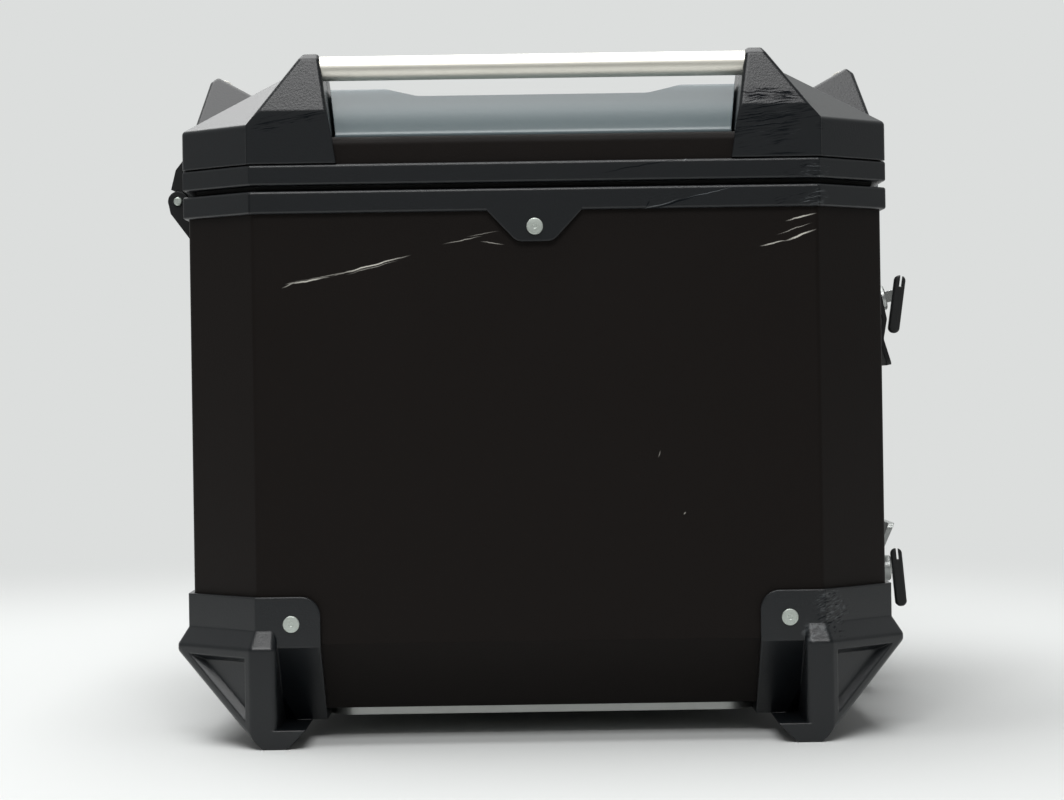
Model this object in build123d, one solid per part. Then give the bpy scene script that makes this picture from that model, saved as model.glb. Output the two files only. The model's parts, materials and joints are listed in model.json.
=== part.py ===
from build123d import *
from math import atan2, cos, degrees, radians, sin, sqrt, tan
import os

# Motorcycle top case: folded aluminium body, hinged aluminium lid with moulded
# corner caps and four lashing rails, a keyed draw latch for the lid and a keyed
# lever that lets the case off its rack.  Millimetres, +Z up.  While it is built
# the middle of the case is x = y = 0 and the feet stand on z = 0.  The bike's
# front, and the hinge, are at -X; the locks are at +X.

# ---------------------------------------------------------------- body sheet
case_depth = 326.0          # front wall to rear wall, outside of the sheet
case_width = 420.0          # side wall to side wall, outside of the sheet
corner_cut = 33.0           # leg of the 45 degree facet down each upright corner
floor_cut = 33.0            # leg of the 45 degree facet around the floor
sheet = 1.5                 # sheet thickness of the body and the lid
bend_radius = 3.0           # outside radius of each fold in the sheet
floor_height = 14.4         # underside of the floor above the ground
fit = 0.1                   # clearance between parts that slide together
cut_beyond = 40.0           # how far cutting shapes run past the case

# ---------------------------------------------------------------- rims and seal
body_rim_low = 245.6        # lower edge of the rim on the body
body_rim_height = 10.4
rim_proud = 2.6             # how far the rims stand out from the sheet
rim_land = 12.0             # width of the rim's flat land
rim_land_thick = 2.5
rim_edge = 1.2              # rounding of the rims' outer edges
skirt_drop = 7.6            # how far the rim's inner skirt hangs below the outer one
skirt_thick = 2.5
lid_gap = 2.7               # open gap between the two rims
lid_rim_height = 9.5
lid_floor_thick = 5.5       # thick lower part of the lid rim, which carries the seal
sheet_seat = 2.0            # depth of the groove that takes the lid sheet
seal_inset = 3.5            # from the sheet to the seal's groove
seal_width = 4.0
seal_groove_depth = 3.0
seal_rest_gap = 0.05
seal_lip = 1.2
tab_top_half = 21.7         # half widths and drop of the tab on each side of the rim
tab_low_half = 8.4
tab_drop = 14.2
tab_rivet_drop = 7.4
tab_corner = 6.0

# ---------------------------------------------------------------- lid
pan_wall_height = 12.8      # lid sheet from the rim up to its flat top
pan_bend = 4.0
cover_inset = 4.6           # edge of the raised cover in from the lid sheet
cover_flange = 1.2          # thickness of the cover's edge
cover_foot = 3.6            # from the cover's edge to the foot of its slope
cover_height = 24.5         # raised cover above the flat of the lid sheet
cover_slope = 50.0          # slope of the cover's sides, degrees from level
cover_foot_radius = 5.0
cover_crown_radius = 3.0
cover_wall = 2.5
scoop_depth = 3.7           # finger scoop under the middle of each rail
scoop_half = 54.0
scoop_run = 16.0            # length of the scoop's rise at each end
scoop_reach = 55.0          # how far inboard the scoop fades out
scoop_round = 22.0
cover_to_cap = 1.4

# ---------------------------------------------------------------- corner caps
cap_gap = 0.5               # shadow gap under each cap
cap_wall = 2.5
cap_edge_height = 17.8      # upright wall of the cap up to its roof
cap_roof_slope = 30.0
cap_plateau = 43.8          # flat of the cap's roof above its lower edge
cap_half_span = 91.0        # from the middle of a side to the cap's end, at its foot
cap_end_lean = 7.7          # how far the end leans back over the cap's height
cap_inner_x = 60.0          # depth of the cap's arms, inwards from the rim
cap_round = 2.0             # rounding of the horns' edges
cap_ease = 2.4              # rounding of the caps' wall and roof edges
horn_height = 51.6          # crest of the horn above the cap's lower edge
horn_fold = 24.3            # height at which the horn starts to lean back
horn_shoulder_in = 6.0
horn_shoulder_height = 48.6
horn_crest_in = 9.5
horn_crest_length = 7.1
horn_slope = 52.0           # slope of the horn's long edge
cap_screw_radius = 2.0
cap_screw_head = 3.8
cap_boss_radius = 4.5
cap_boss_step = 45.0
cap_screw_bite = 9.0

# ---------------------------------------------------------------- rails
rail_radius = 5.65
rail_height_over_cap = 44.4     # axis above the caps' lower edge
rail_inset = 12.0               # axis in from the rims' outer face
rail_seat = 7.0                 # how deep a rail sits in the cap

# ---------------------------------------------------------------- corner protectors
guard_thick = 2.6
guard_top = 69.5
guard_arm = 28.8            # arm along each wall, past the corner facet
guard_corner_radius = 9.0
guard_lower = 8.8           # underside of the guard beside the foot
guard_flare = 5.1           # how far the bumper stands out from the guard
flare_low = 46.0            # bumper's ledge: lower and upper edge
flare_high = 54.0
bumper_wrap = 8.7           # how far the bumper reaches past the corner facet
foot_out = 35.0             # outer edge of the foot, in from the end wall
foot_length = 11.0
guard_rivet_in = 15.4       # rivet past the corner facet
guard_rivet_height = 57.0
bumper_round = 3.0
pocket_depth = 3.5          # three-sided pocket in the bumper's corner facet
pocket_margin = 4.0
pocket_draft = 35.0

# ---------------------------------------------------------------- rivets
rivet_head_radius = 3.85
rivet_head = 1.1
rivet_radius = 2.0
rivet_round = 0.4
rivet_tail_radius = 3.2
rivet_tail = 1.0
screw_head = 2.0
fastener_sides = 12         # small fasteners and their holes are drawn with flats

# ---------------------------------------------------------------- base plate
plate_thick = 4.0
plate_end_in = 62.2         # edges of the plate in from the walls
plate_side_in = 38.0
plate_corner = 14.0
rack_hole_radius = 3.3
rack_spacing_x = 140.0
rack_spacing_y = 200.0
plate_rivet_end = 12.8      # rivets in from the plate's edges
plate_rivet_side = 22.0
hook_y = 62.0
hook_end_in = 38.8          # hooks' uprights in from the plate's hinge end
hook_width = 26.0
hook_thick = 3.0
hook_drop = 8.0
hook_toe = 14.0
slot_length = 90.0
slot_width = 34.0
slot_y = 50.0

# ---------------------------------------------------------------- hinge
hinge_pin_radius = 2.1
hinge_running = 0.06
knuckle_radius = 5.0
hinge_half_length = 120.0
knuckles = 5
knuckle_gap = 0.5
pin_out = 12.0              # pin axis outside the front wall
pin_over_rim = 2.0          # pin axis above the body rim
pin_head = 1.6
hinge_leaf_low = 234.0
hinge_shoulder_low = 273.4
hinge_shoulder_top = 281.6
hinge_pad_half = 86.0       # pad that carries the upper leaf on the lid sheet
hinge_pad_top = 278.0
hinge_screw_y = 70.0
hinge_screw_radius = 1.8
hinge_screw_head = 3.2
hinge_screw_length = 9.0
hinge_screw_low = 241.5
hinge_screw_high = 273.0

# ---------------------------------------------------------------- locks
barrel_radius = 5.5
barrel_running = 0.06
collar_wall = 1.3
boss_wall = 2.2
key_slot = 1.4
key_slot_depth = 10.7
key_bow_length = 31.0
key_bow_depth = 6.0
key_bow_thick = 4.0
key_blade_width = 6.0
key_blade_length = 14.5     # from the middle of the bow to the tip
latch_key_stand = 5.4       # from a lock's face to the middle of its key's bow
release_key_stand = 4.3
key_bow_round = 0.7
key_bow_drop = 5.0          # the bow hangs this far below the lock's axis
key_notch = 1.4
key_notch_depth = 6.0
latch_key_lean = 20.0       # the latch's key droops back towards its lever
release_key_lean = -5.0
cam_length = 11.5
cam_half = 3.4
cam_thick = 1.6
cam_room = 4.6              # room behind a lock for its cam

# ---------------------------------------------------------------- lid latch
latch_half = 24.0           # half width of the latch base
latch_base_low = 63.0       # latch base below and above the lever's pivot
latch_base_high = 9.0
latch_back = 3.0
cheek = 4.0
cheek_depth = 11.0
latch_axis_out = 8.6        # pivot outside the wall
latch_axis_drop = 27.7      # pivot below the lid rim's lower edge
latch_pin_radius = 1.9
lever_side_gap = 0.5
lever_wall = 2.5
lever_plate = 2.5
lever_plate_out = 12.5      # inner face of the closed lever, outside the wall
lever_grip_top = 36.0       # the plate steps in between these drops, for fingers
lever_grip_low = 46.0
lever_grip_in = 4.0
lever_lip_low = 60.0        # lip's lower edge below the pivot
lever_lip_out = 1.2
lever_lug_radius = 5.0
release_lug_radius = 3.1
lever_lock_drop = 24.7      # lock axis below the pivot
lever_collar_stand = 3.8
lever_notch_half = 10.5
lever_notch_drop = 14.5
latch_rest_angle = 12.0     # the lever rests sprung open by this much
hook_pin_radius = 1.5
hook_pin_out = 4.4          # hook's pin from the lever's, outwards and down
hook_pin_drop = 10.0
claw_half = 9.0
claw_thick = 2.2
claw_tilt_share = 0.4       # the hook tilts this much for each degree of lever
claw_depth = 2.8
striker_ledge = 5.9         # ledge outside the rim's face
striker_half = 17.0
striker_ledge_half = 10.0
striker_plate = 2.0
striker_thick = 3.0
striker_over_rim = 3.8      # underside of the ledge above the lid rim's lower edge
claw_gap = 0.35
claw_eye_radius = 3.0
keeper_stand = 6.3
keeper_y = 8.6
keeper_width = 6.0
keeper_post = 2.4
keeper_thick = 1.4
latch_rivet_y = 13.0
latch_rivet_rise = 8.0      # rivets in from the ends of the latch base
striker_screw_y = 13.6
striker_screw_head = 2.3
striker_screw_rise = 3.8
striker_screw_length = 3.4

# ---------------------------------------------------------------- release lever
release_half = 26.0
release_high = 92.0
release_shelf = 42.0        # top of the solid lower housing
release_low = 16.0
release_block_out = 13.0
release_axis_out = 6.5
release_axis_height = 53.0
release_lock_rise = 11.5
release_plate = 3.0
release_plate_out = 15.5
release_collar_stand = 6.0
release_lip_low = 23.0
release_lip_high = 36.4
release_lip_out = 6.0
release_rivet_high = 84.0
release_rivet_low = 54.0
bolt_radius = 3.5
bolt_out = 6.0
bolt_tip = 9.0
bolt_head = 48.5

# ---------------------------------------------------------------- worked-out heights
body_rim_high = body_rim_low + body_rim_height
lid_rim_low = body_rim_high + lid_gap
lid_rim_high = lid_rim_low + lid_rim_height
pan_top = lid_rim_high + pan_wall_height
cap_low = lid_rim_high + cap_gap
cap_edge = cap_low + cap_edge_height
rail_z = cap_low + rail_height_over_cap
half_depth = case_depth / 2
half_width = case_width / 2
rim_face_x = half_depth + rim_proud
rim_face_y = half_width + rim_proud
knuckle_length = 2 * hinge_half_length / knuckles
pin_x = -half_depth - pin_out
pin_z = body_rim_high + pin_over_rim
plate_half_depth = half_depth - plate_end_in
plate_half_width = half_width - plate_side_in
hook_x = hook_end_in - plate_half_depth
plate_rivet_x = plate_half_depth - plate_rivet_end
plate_rivet_y = plate_half_width - plate_rivet_side
latch_x = half_depth + latch_axis_out
latch_axis_height = lid_rim_low - latch_axis_drop
latch_low = latch_axis_height - latch_base_low
latch_high = latch_axis_height + latch_base_high
release_x = half_depth + release_axis_out
lock_back = half_depth + latch_back + cam_room      # rear end of both barrels
latch_lock_z = latch_axis_height - lever_lock_drop
latch_lock_x = half_depth + lever_plate_out + lever_plate
release_lock_z = release_axis_height + release_lock_rise
release_lock_x = half_depth + release_plate_out + release_plate
key_reach = latch_lock_x + lever_collar_stand + latch_key_stand + key_bow_depth + 4.6
hinge_reach = -pin_x + knuckle_radius
origin_x = (key_reach - hinge_reach) / 2    # middle of the whole length


# ================================================================ shared shapes
def octagon(inset, z):
    """Outline of the case, moved inwards by inset, as a face at height z."""
    x = half_depth - inset
    y = half_width - inset
    cut = corner_cut - inset * (2 - sqrt(2))
    quarter = [(x, y - cut), (x - cut, y)]
    points = []
    for sx, sy, step in ((1, 1, 1), (-1, 1, -1), (-1, -1, 1), (1, -1, -1)):
        points += [(sx * px, sy * py) for px, py in quarter[::step]]
    return Plane.XY.offset(z) * make_face(Polyline(*points, close=True))


def prism(inset, low, high):
    """Upright block with the outline of the case."""
    return extrude(octagon(inset, low), amount=high - low)


def ring(outer_inset, inner_inset, low, high):
    """Upright band between two outlines."""
    return prism(outer_inset, low, high) - prism(inner_inset, low, high)


def tub(inset, bottom, top):
    """Body block with its 45 degree floor facet, moved inwards by inset."""
    knee = floor_height + floor_cut + inset * (sqrt(2) - 1)
    drop = knee - bottom
    lower = extrude(octagon(inset + drop, bottom), amount=drop, taper=-45)
    return prism(inset, knee, top) + lower


def side_plate(points, low, high):
    """Profile in X and Z, extruded along Y from low to high."""
    profile = make_face(Polyline(*[(x, 0, z) for x, z in points], close=True))
    return Pos(0, low, 0) * extrude(profile, amount=high - low, dir=(0, 1, 0))


def front_plate(points, low, high):
    """Profile in Y and Z, extruded along X from low to high."""
    profile = make_face(Polyline(*[(0, y, z) for y, z in points], close=True))
    return Pos(low, 0, 0) * extrude(profile, amount=high - low, dir=(1, 0, 0))


def block(x, y, z):
    """Box from three (low, high) pairs."""
    size = (x[1] - x[0], y[1] - y[0], z[1] - z[0])
    centre = ((x[0] + x[1]) / 2, (y[0] + y[1]) / 2, (z[0] + z[1]) / 2)
    return Pos(*centre) * Box(*size)


def rod(radius, start, end):
    """Round bar from one point to another."""
    line = Vector(*end) - Vector(*start)
    plane = Plane(origin=start, z_dir=line)
    return extrude(plane * Circle(radius), amount=line.length)


def bar(radius, start, end):
    """Straight bar with a few flat sides, for small fasteners and their holes."""
    line = Vector(*end) - Vector(*start)
    plane = Plane(origin=start, z_dir=line)
    return extrude(plane * RegularPolygon(radius, fastener_sides), amount=line.length)


def four_ways(shape):
    """The shape at the corner +X +Y, and its three mirror images, by corner name."""
    front = mirror(shape, about=Plane.YZ)
    return {
        "rear_right": shape,
        "rear_left": mirror(shape, about=Plane.XZ),
        "front_right": front,
        "front_left": mirror(front, about=Plane.XZ),
    }


def in_order(shape):
    """The shape's solids from +X to -X and, at each end, from -Y to +Y."""
    return shape.solids().sort_by(lambda one: (-round(one.center().X), one.center().Y))


def rivet(spot, out, grip):
    """Flat-headed rivet: spot on the surface, out the way its head faces."""
    out = Vector(*out)
    spot = Vector(*spot)
    head = bar(rivet_head_radius, spot, spot + out * rivet_head)
    rim = head.edges().group_by(lambda edge: round((edge.center() - spot).dot(out), 3))[-1]
    head = chamfer(rim, rivet_round)
    shank = bar(rivet_radius, spot - out * grip, spot)
    tail = bar(rivet_tail_radius, spot - out * (grip + rivet_tail), spot - out * grip)
    return head + shank + tail


def rivet_hole(spot, out, grip):
    """Hole that a rivet's shank passes through."""
    out = Vector(*out)
    spot = Vector(*spot)
    return bar(rivet_radius + fit, spot - out * (grip + 1), spot + out)


def screw(spot, out, length, radius, head_radius):
    """Pan-headed screw: spot on the surface, out the way its head faces."""
    out = Vector(*out)
    spot = Vector(*spot)
    head = bar(head_radius, spot, spot + out * screw_head)
    return head + bar(radius, spot - out * length, spot)


# ================================================================ body
def body_shell():
    """Folded sheet tub with eight walls and a faceted floor."""
    top = body_rim_high - rim_land_thick
    outer = tub(0, floor_height, top)
    outer = fillet(outer.edges().filter_by(Axis.Z), bend_radius)
    inner = tub(sheet, floor_height + sheet, top + 1)
    inner = fillet(inner.edges().filter_by(Axis.Z), bend_radius - sheet)
    return outer - inner


def body_rim():
    """Rim all round: outer skirt, land, inner skirt and a riveted tab on each side."""
    groove_top = body_rim_high - rim_land_thick
    inner_skirt = sheet + fit
    land_inset = rim_land - rim_proud
    rim = ring(-rim_proud, land_inset, body_rim_low, body_rim_high)
    crest = rim.edges().filter_by(Plane.XY).sort_by(SortBy.LENGTH)
    outer = [edge for edge in crest if on_face(edge, rim_face_x, rim_face_y)]
    rim = fillet(outer, rim_edge)
    rim -= ring(-fit, inner_skirt, body_rim_low - 1, groove_top)
    rim -= ring(inner_skirt + skirt_thick, land_inset + 1, body_rim_low - 1, groove_top)
    skirt_low = body_rim_low - skirt_drop
    rim += ring(inner_skirt, inner_skirt + skirt_thick, skirt_low, groove_top)
    outline = [
        (-tab_top_half, body_rim_low + rim_edge + 1),
        (-tab_top_half, body_rim_low),
        (-tab_low_half, body_rim_low - tab_drop),
        (tab_low_half, body_rim_low - tab_drop),
        (tab_top_half, body_rim_low),
        (tab_top_half, body_rim_low + rim_edge + 1),
    ]
    tab = side_plate(outline, half_width + fit, rim_face_y)
    low_corners = tab.edges().filter_by(Axis.Y).group_by(Axis.Z)[0]
    tab = fillet(low_corners, tab_corner)
    return rim + tab + mirror(tab, about=Plane.XZ)


def rim_wedges():
    """Space of the rim's four corner pieces, out to the mitres at the folds."""
    x = half_depth - corner_cut
    y = half_width - corner_cut
    side = sqrt(2) - 1
    far = rim_proud + 1
    near = -rim_land - 1
    outline = [
        (x + near * side, half_width + near),
        (x + far * side, half_width + far),
        (half_depth + far, y + far * side),
        (half_depth + near, y + near * side),
    ]
    low = body_rim_low - skirt_drop - 1
    face = Plane.XY.offset(low) * make_face(Polyline(*outline, close=True))
    wedge = extrude(face, amount=body_rim_high + 1 - low)
    return Part() + list(four_ways(wedge).values())


def on_face(edge, x, y):
    """True where an edge lies on the outermost outline, at x or y or its facets."""
    spot = edge.center()
    facet = x + y - corner_cut - rim_proud * (2 - sqrt(2))
    reach = max(abs(spot.X) - x, abs(spot.Y) - y, abs(spot.X) + abs(spot.Y) - facet)
    return abs(reach) < 0.01


def tab_rivet_spots():
    """Rivet places on the rim's two tabs."""
    z = body_rim_low - tab_rivet_drop
    return [((0, side * rim_face_y, z), (0, side, 0)) for side in (-1, 1)]


# ================================================================ corner protectors
def guard_window():
    """Space that one corner protector covers, round-cornered on both walls."""
    x = half_depth - corner_cut - guard_arm
    y = half_width - corner_cut - guard_arm
    high = guard_top
    far = half_width + cut_beyond
    along_x = side_plate([(x, -1), (far, -1), (far, high), (x, high)], 0, far)
    upper = along_x.edges().filter_by(Axis.Y).group_by(Axis.X)[0].sort_by(Axis.Z)[-1]
    along_x = fillet(upper, guard_corner_radius)
    along_y = front_plate([(y, -1), (far, -1), (far, high), (y, high)], 0, far)
    upper = along_y.edges().filter_by(Axis.X).group_by(Axis.Y)[0].sort_by(Axis.Z)[-1]
    along_y = fillet(upper, guard_corner_radius)
    return along_x & along_y


def bumper():
    """Bumper round the corner facet, with a sloping ledge and a 45 degree underside."""
    flare = -guard_thick - guard_flare
    rise = flare_high - flare_low
    lean = degrees(atan2(guard_flare, rise))
    form = prism(flare, 0, flare_low)
    form += extrude(octagon(flare, flare_low), amount=rise, taper=lean)
    foot_x = half_depth - foot_out
    foot_in = foot_x - foot_length
    reach = half_depth - flare - foot_x
    far = foot_x + reach + 1
    profile = [
        (foot_in, 0),
        (foot_x, 0),
        (far, reach + 1),
        (far, flare_high),
        (half_depth - corner_cut - bumper_wrap, flare_high),
        (half_depth - corner_cut - bumper_wrap, guard_lower),
        (foot_in - guard_lower, guard_lower),
    ]
    wall_y = half_width - corner_cut - bumper_wrap
    form &= side_plate(profile, wall_y, half_width - flare)
    proud = [edge for edge in form.edges() if beyond_guard(edge.center())]
    return fillet(proud, bumper_round) - bumper_pocket()


def beyond_guard(spot):
    """True for a point above the foot that stands out from the guard's walls."""
    skin = guard_thick + 0.5
    reach = max(
        spot.X - half_depth,
        spot.Y - half_width,
        (spot.X + spot.Y - half_depth - half_width + corner_cut) / sqrt(2),
    )
    return reach > skin and spot.Z > guard_lower + 0.5


def bumper_pocket():
    """Three-sided pocket with sloping walls in the bumper's corner facet."""
    stand = guard_thick + guard_flare
    leg = corner_cut + stand * (2 - sqrt(2))
    x = half_depth + stand - leg / 2
    y = half_width + stand - leg / 2
    facet = Plane(origin=(x, y, 0), x_dir=(-1, 1, 0), z_dir=(1, 1, 0))
    rise = 1 / sqrt(2)
    low = x - half_depth + foot_out + pocket_margin * sqrt(1 + rise * rise)
    end = leg / sqrt(2) - pocket_margin
    top = flare_low - pocket_margin
    outline = [(end, low - end * rise), (end, top), ((low - top) / rise, top)]
    face = facet * make_face(Polyline(*outline, close=True))
    return extrude(face, amount=-pocket_depth, taper=pocket_draft)


def protector():
    """Moulded corner: arms on two walls, bumper, foot and recessed facet."""
    window = guard_window()
    guard = tub(-guard_thick, guard_lower, guard_top) & window
    guard += bumper()
    guard -= tub(-fit, floor_height - fit, guard_top + 1)
    plate_room = block(
        (-1, plate_half_depth + fit), (-1, plate_half_width + fit), (-1, floor_height)
    )
    return guard - plate_room


def protector_rivet_spots():
    """Two rivet places on each protector, one on each wall."""
    x = half_depth - corner_cut - guard_rivet_in
    y = half_width - corner_cut - guard_rivet_in
    face_x = half_depth + guard_thick
    face_y = half_width + guard_thick
    z = guard_rivet_height
    spots = []
    for sx in (-1, 1):
        for sy in (-1, 1):
            spots.append(((sx * x, sy * face_y, z), (0, sy, 0)))
            spots.append(((sx * face_x, sy * y, z), (sx, 0, 0)))
    return spots


# ================================================================ floor and rack
def rack_holes(low, high):
    """Four bolt holes through the floor and base plate."""
    spots = [
        (sx * rack_spacing_x / 2, sy * rack_spacing_y / 2)
        for sx in (-1, 1)
        for sy in (-1, 1)
    ]
    return [rod(rack_hole_radius, (x, y, low), (x, y, high)) for x, y in spots]


def plate_rivet_spots():
    """Rivets that hold the base plate to the floor."""
    z = floor_height - plate_thick
    return [
        ((sx * plate_rivet_x, sy * y, z), (0, 0, -1))
        for sx in (-1, 1)
        for sy in (-1, 1)
        for y in (plate_rivet_y, plate_rivet_y / 3)
    ]


def base_plate():
    """Bare plate under the floor, with two slots that lighten it."""
    z = floor_height - plate_thick
    outline = RectangleRounded(2 * plate_half_depth, 2 * plate_half_width, plate_corner)
    plate = extrude(Plane.XY.offset(z) * outline, amount=plate_thick)
    slot = extrude(Plane.XY.offset(z) * SlotOverall(slot_length, slot_width), amount=plate_thick)
    return plate - Pos(0, slot_y, 0) * slot - Pos(0, -slot_y, 0) * slot


def rack_hooks():
    """Two bent steel hooks that slide under the front edge of a rack."""
    top = floor_height - plate_thick
    low = top - hook_drop
    profile = [
        (hook_x + hook_thick + hook_toe, top),
        (hook_x, top),
        (hook_x, low + hook_thick),
        (hook_x - hook_toe, low + hook_thick),
        (hook_x - hook_toe, low),
        (hook_x + hook_thick, low),
        (hook_x + hook_thick, top - hook_thick),
        (hook_x + hook_thick + hook_toe, top - hook_thick),
    ]
    hook = side_plate(profile, hook_y - hook_width / 2, hook_y + hook_width / 2)
    return hook + mirror(hook, about=Plane.XZ)


# ================================================================ lid
def lid_rim():
    """Moulded rim of the lid: groove for the sheet above, groove for the seal below."""
    land_inset = rim_land - rim_proud
    floor_top = lid_rim_low + lid_floor_thick
    rim = ring(-rim_proud, land_inset, lid_rim_low, lid_rim_high)
    crest = rim.edges().filter_by(Plane.XY)
    outer = [edge for edge in crest if on_face(edge, rim_face_x, rim_face_y)]
    rim = fillet(outer, rim_edge)
    rim -= ring(sheet + fit, land_inset + 1, floor_top, lid_rim_high + 1)
    rim -= ring(-fit, sheet + fit + 0.001, floor_top - sheet_seat, lid_rim_high + 1)
    groove_top = lid_rim_low + seal_groove_depth
    rim -= ring(seal_inset, seal_inset + seal_width, lid_rim_low - 1, groove_top)
    return rim


def lid_seal():
    """Rubber strip in the lid rim, resting on the body rim's land."""
    low = body_rim_high + seal_rest_gap
    high = lid_rim_low + seal_groove_depth
    strip = ring(seal_inset + fit, seal_inset + seal_width - fit, low, high)
    lip = strip.edges().filter_by(Plane.XY).group_by(Axis.Z)[0]
    return chamfer(lip, seal_lip)


def lid_pan():
    """Folded sheet lid: eight low walls and a flat top."""
    low = lid_rim_low + lid_floor_thick - sheet_seat + fit
    outer = prism(0, low, pan_top)
    outer = fillet(outer.edges().filter_by(Axis.Z), bend_radius)
    outer = fillet(outer.edges().group_by(Axis.Z)[-1], pan_bend)
    inner = prism(sheet, low - 1, pan_top - sheet)
    inner = fillet(inner.edges().filter_by(Axis.Z), bend_radius - sheet)
    inner = fillet(inner.edges().group_by(Axis.Z)[-1], pan_bend - sheet)
    return outer - inner


def scoop():
    """Space cut from the cover beneath the +Y rail, fading out inboard."""
    top = pan_top + cover_height
    edge_y = half_width - cover_inset - cover_foot - cover_height / tan(radians(cover_slope))
    far = scoop_half + scoop_run + cut_beyond
    over = 12
    points = [
        (-far, top + fit),
        (-scoop_half - scoop_run, top + fit),
        (-scoop_half, top - scoop_depth),
        (scoop_half, top - scoop_depth),
        (scoop_half + scoop_run, top + fit),
        (far, top + fit),
        (far, top + over),
        (-far, top + over),
    ]
    tool = side_plate(points, -scoop_reach, over)
    waves = [
        edge
        for edge in tool.edges().filter_by(Axis.Y)
        if abs(edge.center().X) < far - 1
    ]
    tool = fillet(waves, scoop_round)
    rise = degrees(atan2(scoop_depth, scoop_reach))
    pivot = Pos(0, edge_y, top - scoop_depth)
    return pivot * Rot(-rise, 0, 0) * Pos(0, 0, scoop_depth - top) * tool


def cap_window(gap):
    """Plan of the cap at +X +Y, with its leaning ends, moved outwards by gap."""
    low = cap_low - 1
    lean = cap_end_lean / horn_height
    high = cap_low + horn_height + 2
    start = cap_half_span - lean - gap
    end = start + (high - low) * lean
    far = half_width + cut_beyond
    upright = [(start, low), (far, low), (far, high), (end, high)]
    inner_x = rim_face_x - cap_inner_x - gap
    inner_y = rim_face_y - cap_inner_x - gap
    side_arm = side_plate(upright, inner_y, far)
    end_arm = front_plate(upright, inner_x, far)
    return side_arm + end_arm


def lid_cover():
    """Raised top of the lid: sloping sides, a scoop under each rail, hollow below."""
    foot = cover_inset + cover_foot
    half_angle = 90 - cover_slope
    flange = prism(cover_inset, pan_top, pan_top + cover_flange)
    rise = cover_height - cover_flange
    raised = extrude(octagon(foot, pan_top + cover_flange), amount=rise, taper=half_angle)
    crown = raised.edges().filter_by(Plane.XY).group_by(Axis.Z)[-1]
    raised = fillet(crown, cover_crown_radius)
    cover = flange + raised
    foot_edges = [
        edge
        for edge in cover.edges().filter_by(Plane.XY)
        if abs(edge.center().Z - pan_top - cover_flange) < 0.01
        and not on_inset(edge, cover_inset)
    ]
    cover = fillet(foot_edges, cover_foot_radius)
    side = scoop()
    turned = scoop_on_end()
    for tool in (side, mirror(side, about=Plane.XZ), turned, mirror(turned, about=Plane.YZ)):
        cover -= tool
    hollow_rise = cover_height - cover_wall - scoop_depth
    hollow = extrude(octagon(foot + cover_wall, pan_top), amount=hollow_rise, taper=half_angle)
    corners = four_ways(cap_window(cover_to_cap))
    walls = four_ways(cap_window(cover_to_cap + cover_wall))
    for name in corners:
        cover -= corners[name]
        hollow -= walls[name]
    return cover - hollow


def on_inset(edge, inset):
    """True where an edge lies on the outline moved inwards by inset."""
    spot = edge.center()
    x = half_depth - inset
    y = half_width - inset
    facet = x + y - corner_cut + inset * (2 - sqrt(2))
    reach = max(abs(spot.X) - x, abs(spot.Y) - y, abs(spot.X) + abs(spot.Y) - facet)
    return abs(reach) < 0.01


def scoop_on_end():
    """The same scoop beneath the +X rail."""
    return Pos(half_depth, 0, 0) * Rot(0, 0, -90) * Pos(0, -half_width, 0) * scoop()


# ================================================================ corner caps
def cap_roof(inset):
    """Upright wall and hipped roof of the caps, over the whole lid."""
    slope = tan(radians(cap_roof_slope))
    drop = inset * (1 / cos(radians(cap_roof_slope)) - slope)
    edge = cap_edge - drop
    top = cap_low + cap_plateau - inset
    form = prism(-rim_proud + inset, cap_low - inset, edge)
    lean = 90 - cap_roof_slope
    return form + extrude(octagon(-rim_proud + inset, edge), amount=top - edge, taper=lean)


def horn():
    """Horn that holds the end of the rail along the +Y side, at its +X end."""
    crest = cap_low + horn_height
    fold = cap_low + horn_fold
    shoulder = cap_low + horn_shoulder_height
    fall = tan(radians(cap_roof_slope))
    root_in = cap_edge_height / fall
    root = crest - (root_in - horn_crest_in) * fall
    section = [
        (rim_face_y, cap_low),
        (rim_face_y, fold),
        (rim_face_y - horn_shoulder_in, shoulder),
        (rim_face_y - horn_crest_in, crest),
        (rim_face_y - root_in, root),
        (rim_face_y - root_in, cap_low),
    ]
    ridge = front_plate(section, cap_half_span - 1, half_depth)
    lean = cap_end_lean / horn_height
    top_in = cap_half_span + cap_end_lean
    top_out = top_in + horn_crest_length
    toe = top_out + (crest - cap_edge) / tan(radians(horn_slope))
    profile = [
        (cap_half_span - lean, cap_low - 1),
        (toe, cap_low - 1),
        (toe, cap_edge),
        (top_out - 1 / tan(radians(horn_slope)), crest + 1),
        (top_in + lean, crest + 1),
    ]
    form = ridge & side_plate(profile, 0, rim_face_y + 1)
    upper = [edge for edge in form.edges() if edge.center().Z > fold + 1]
    return fillet(upper, cap_round)


def horn_on_end():
    """The same horn for the rail along the +X side, at its +Y end."""
    turned = mirror(horn(), about=Plane(origin=(0, 0, 0), z_dir=(1, -1, 0)))
    return Pos(half_depth - half_width, 0, 0) * turned


def cap_screw_spots():
    """Bosses in the cap at +X +Y."""
    x = rim_face_x - cap_inner_x / 2
    y = rim_face_y - cap_inner_x / 2
    return [(x, y), (x, y - cap_boss_step), (cap_half_span + cap_boss_radius + 6, y + 6)]


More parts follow.
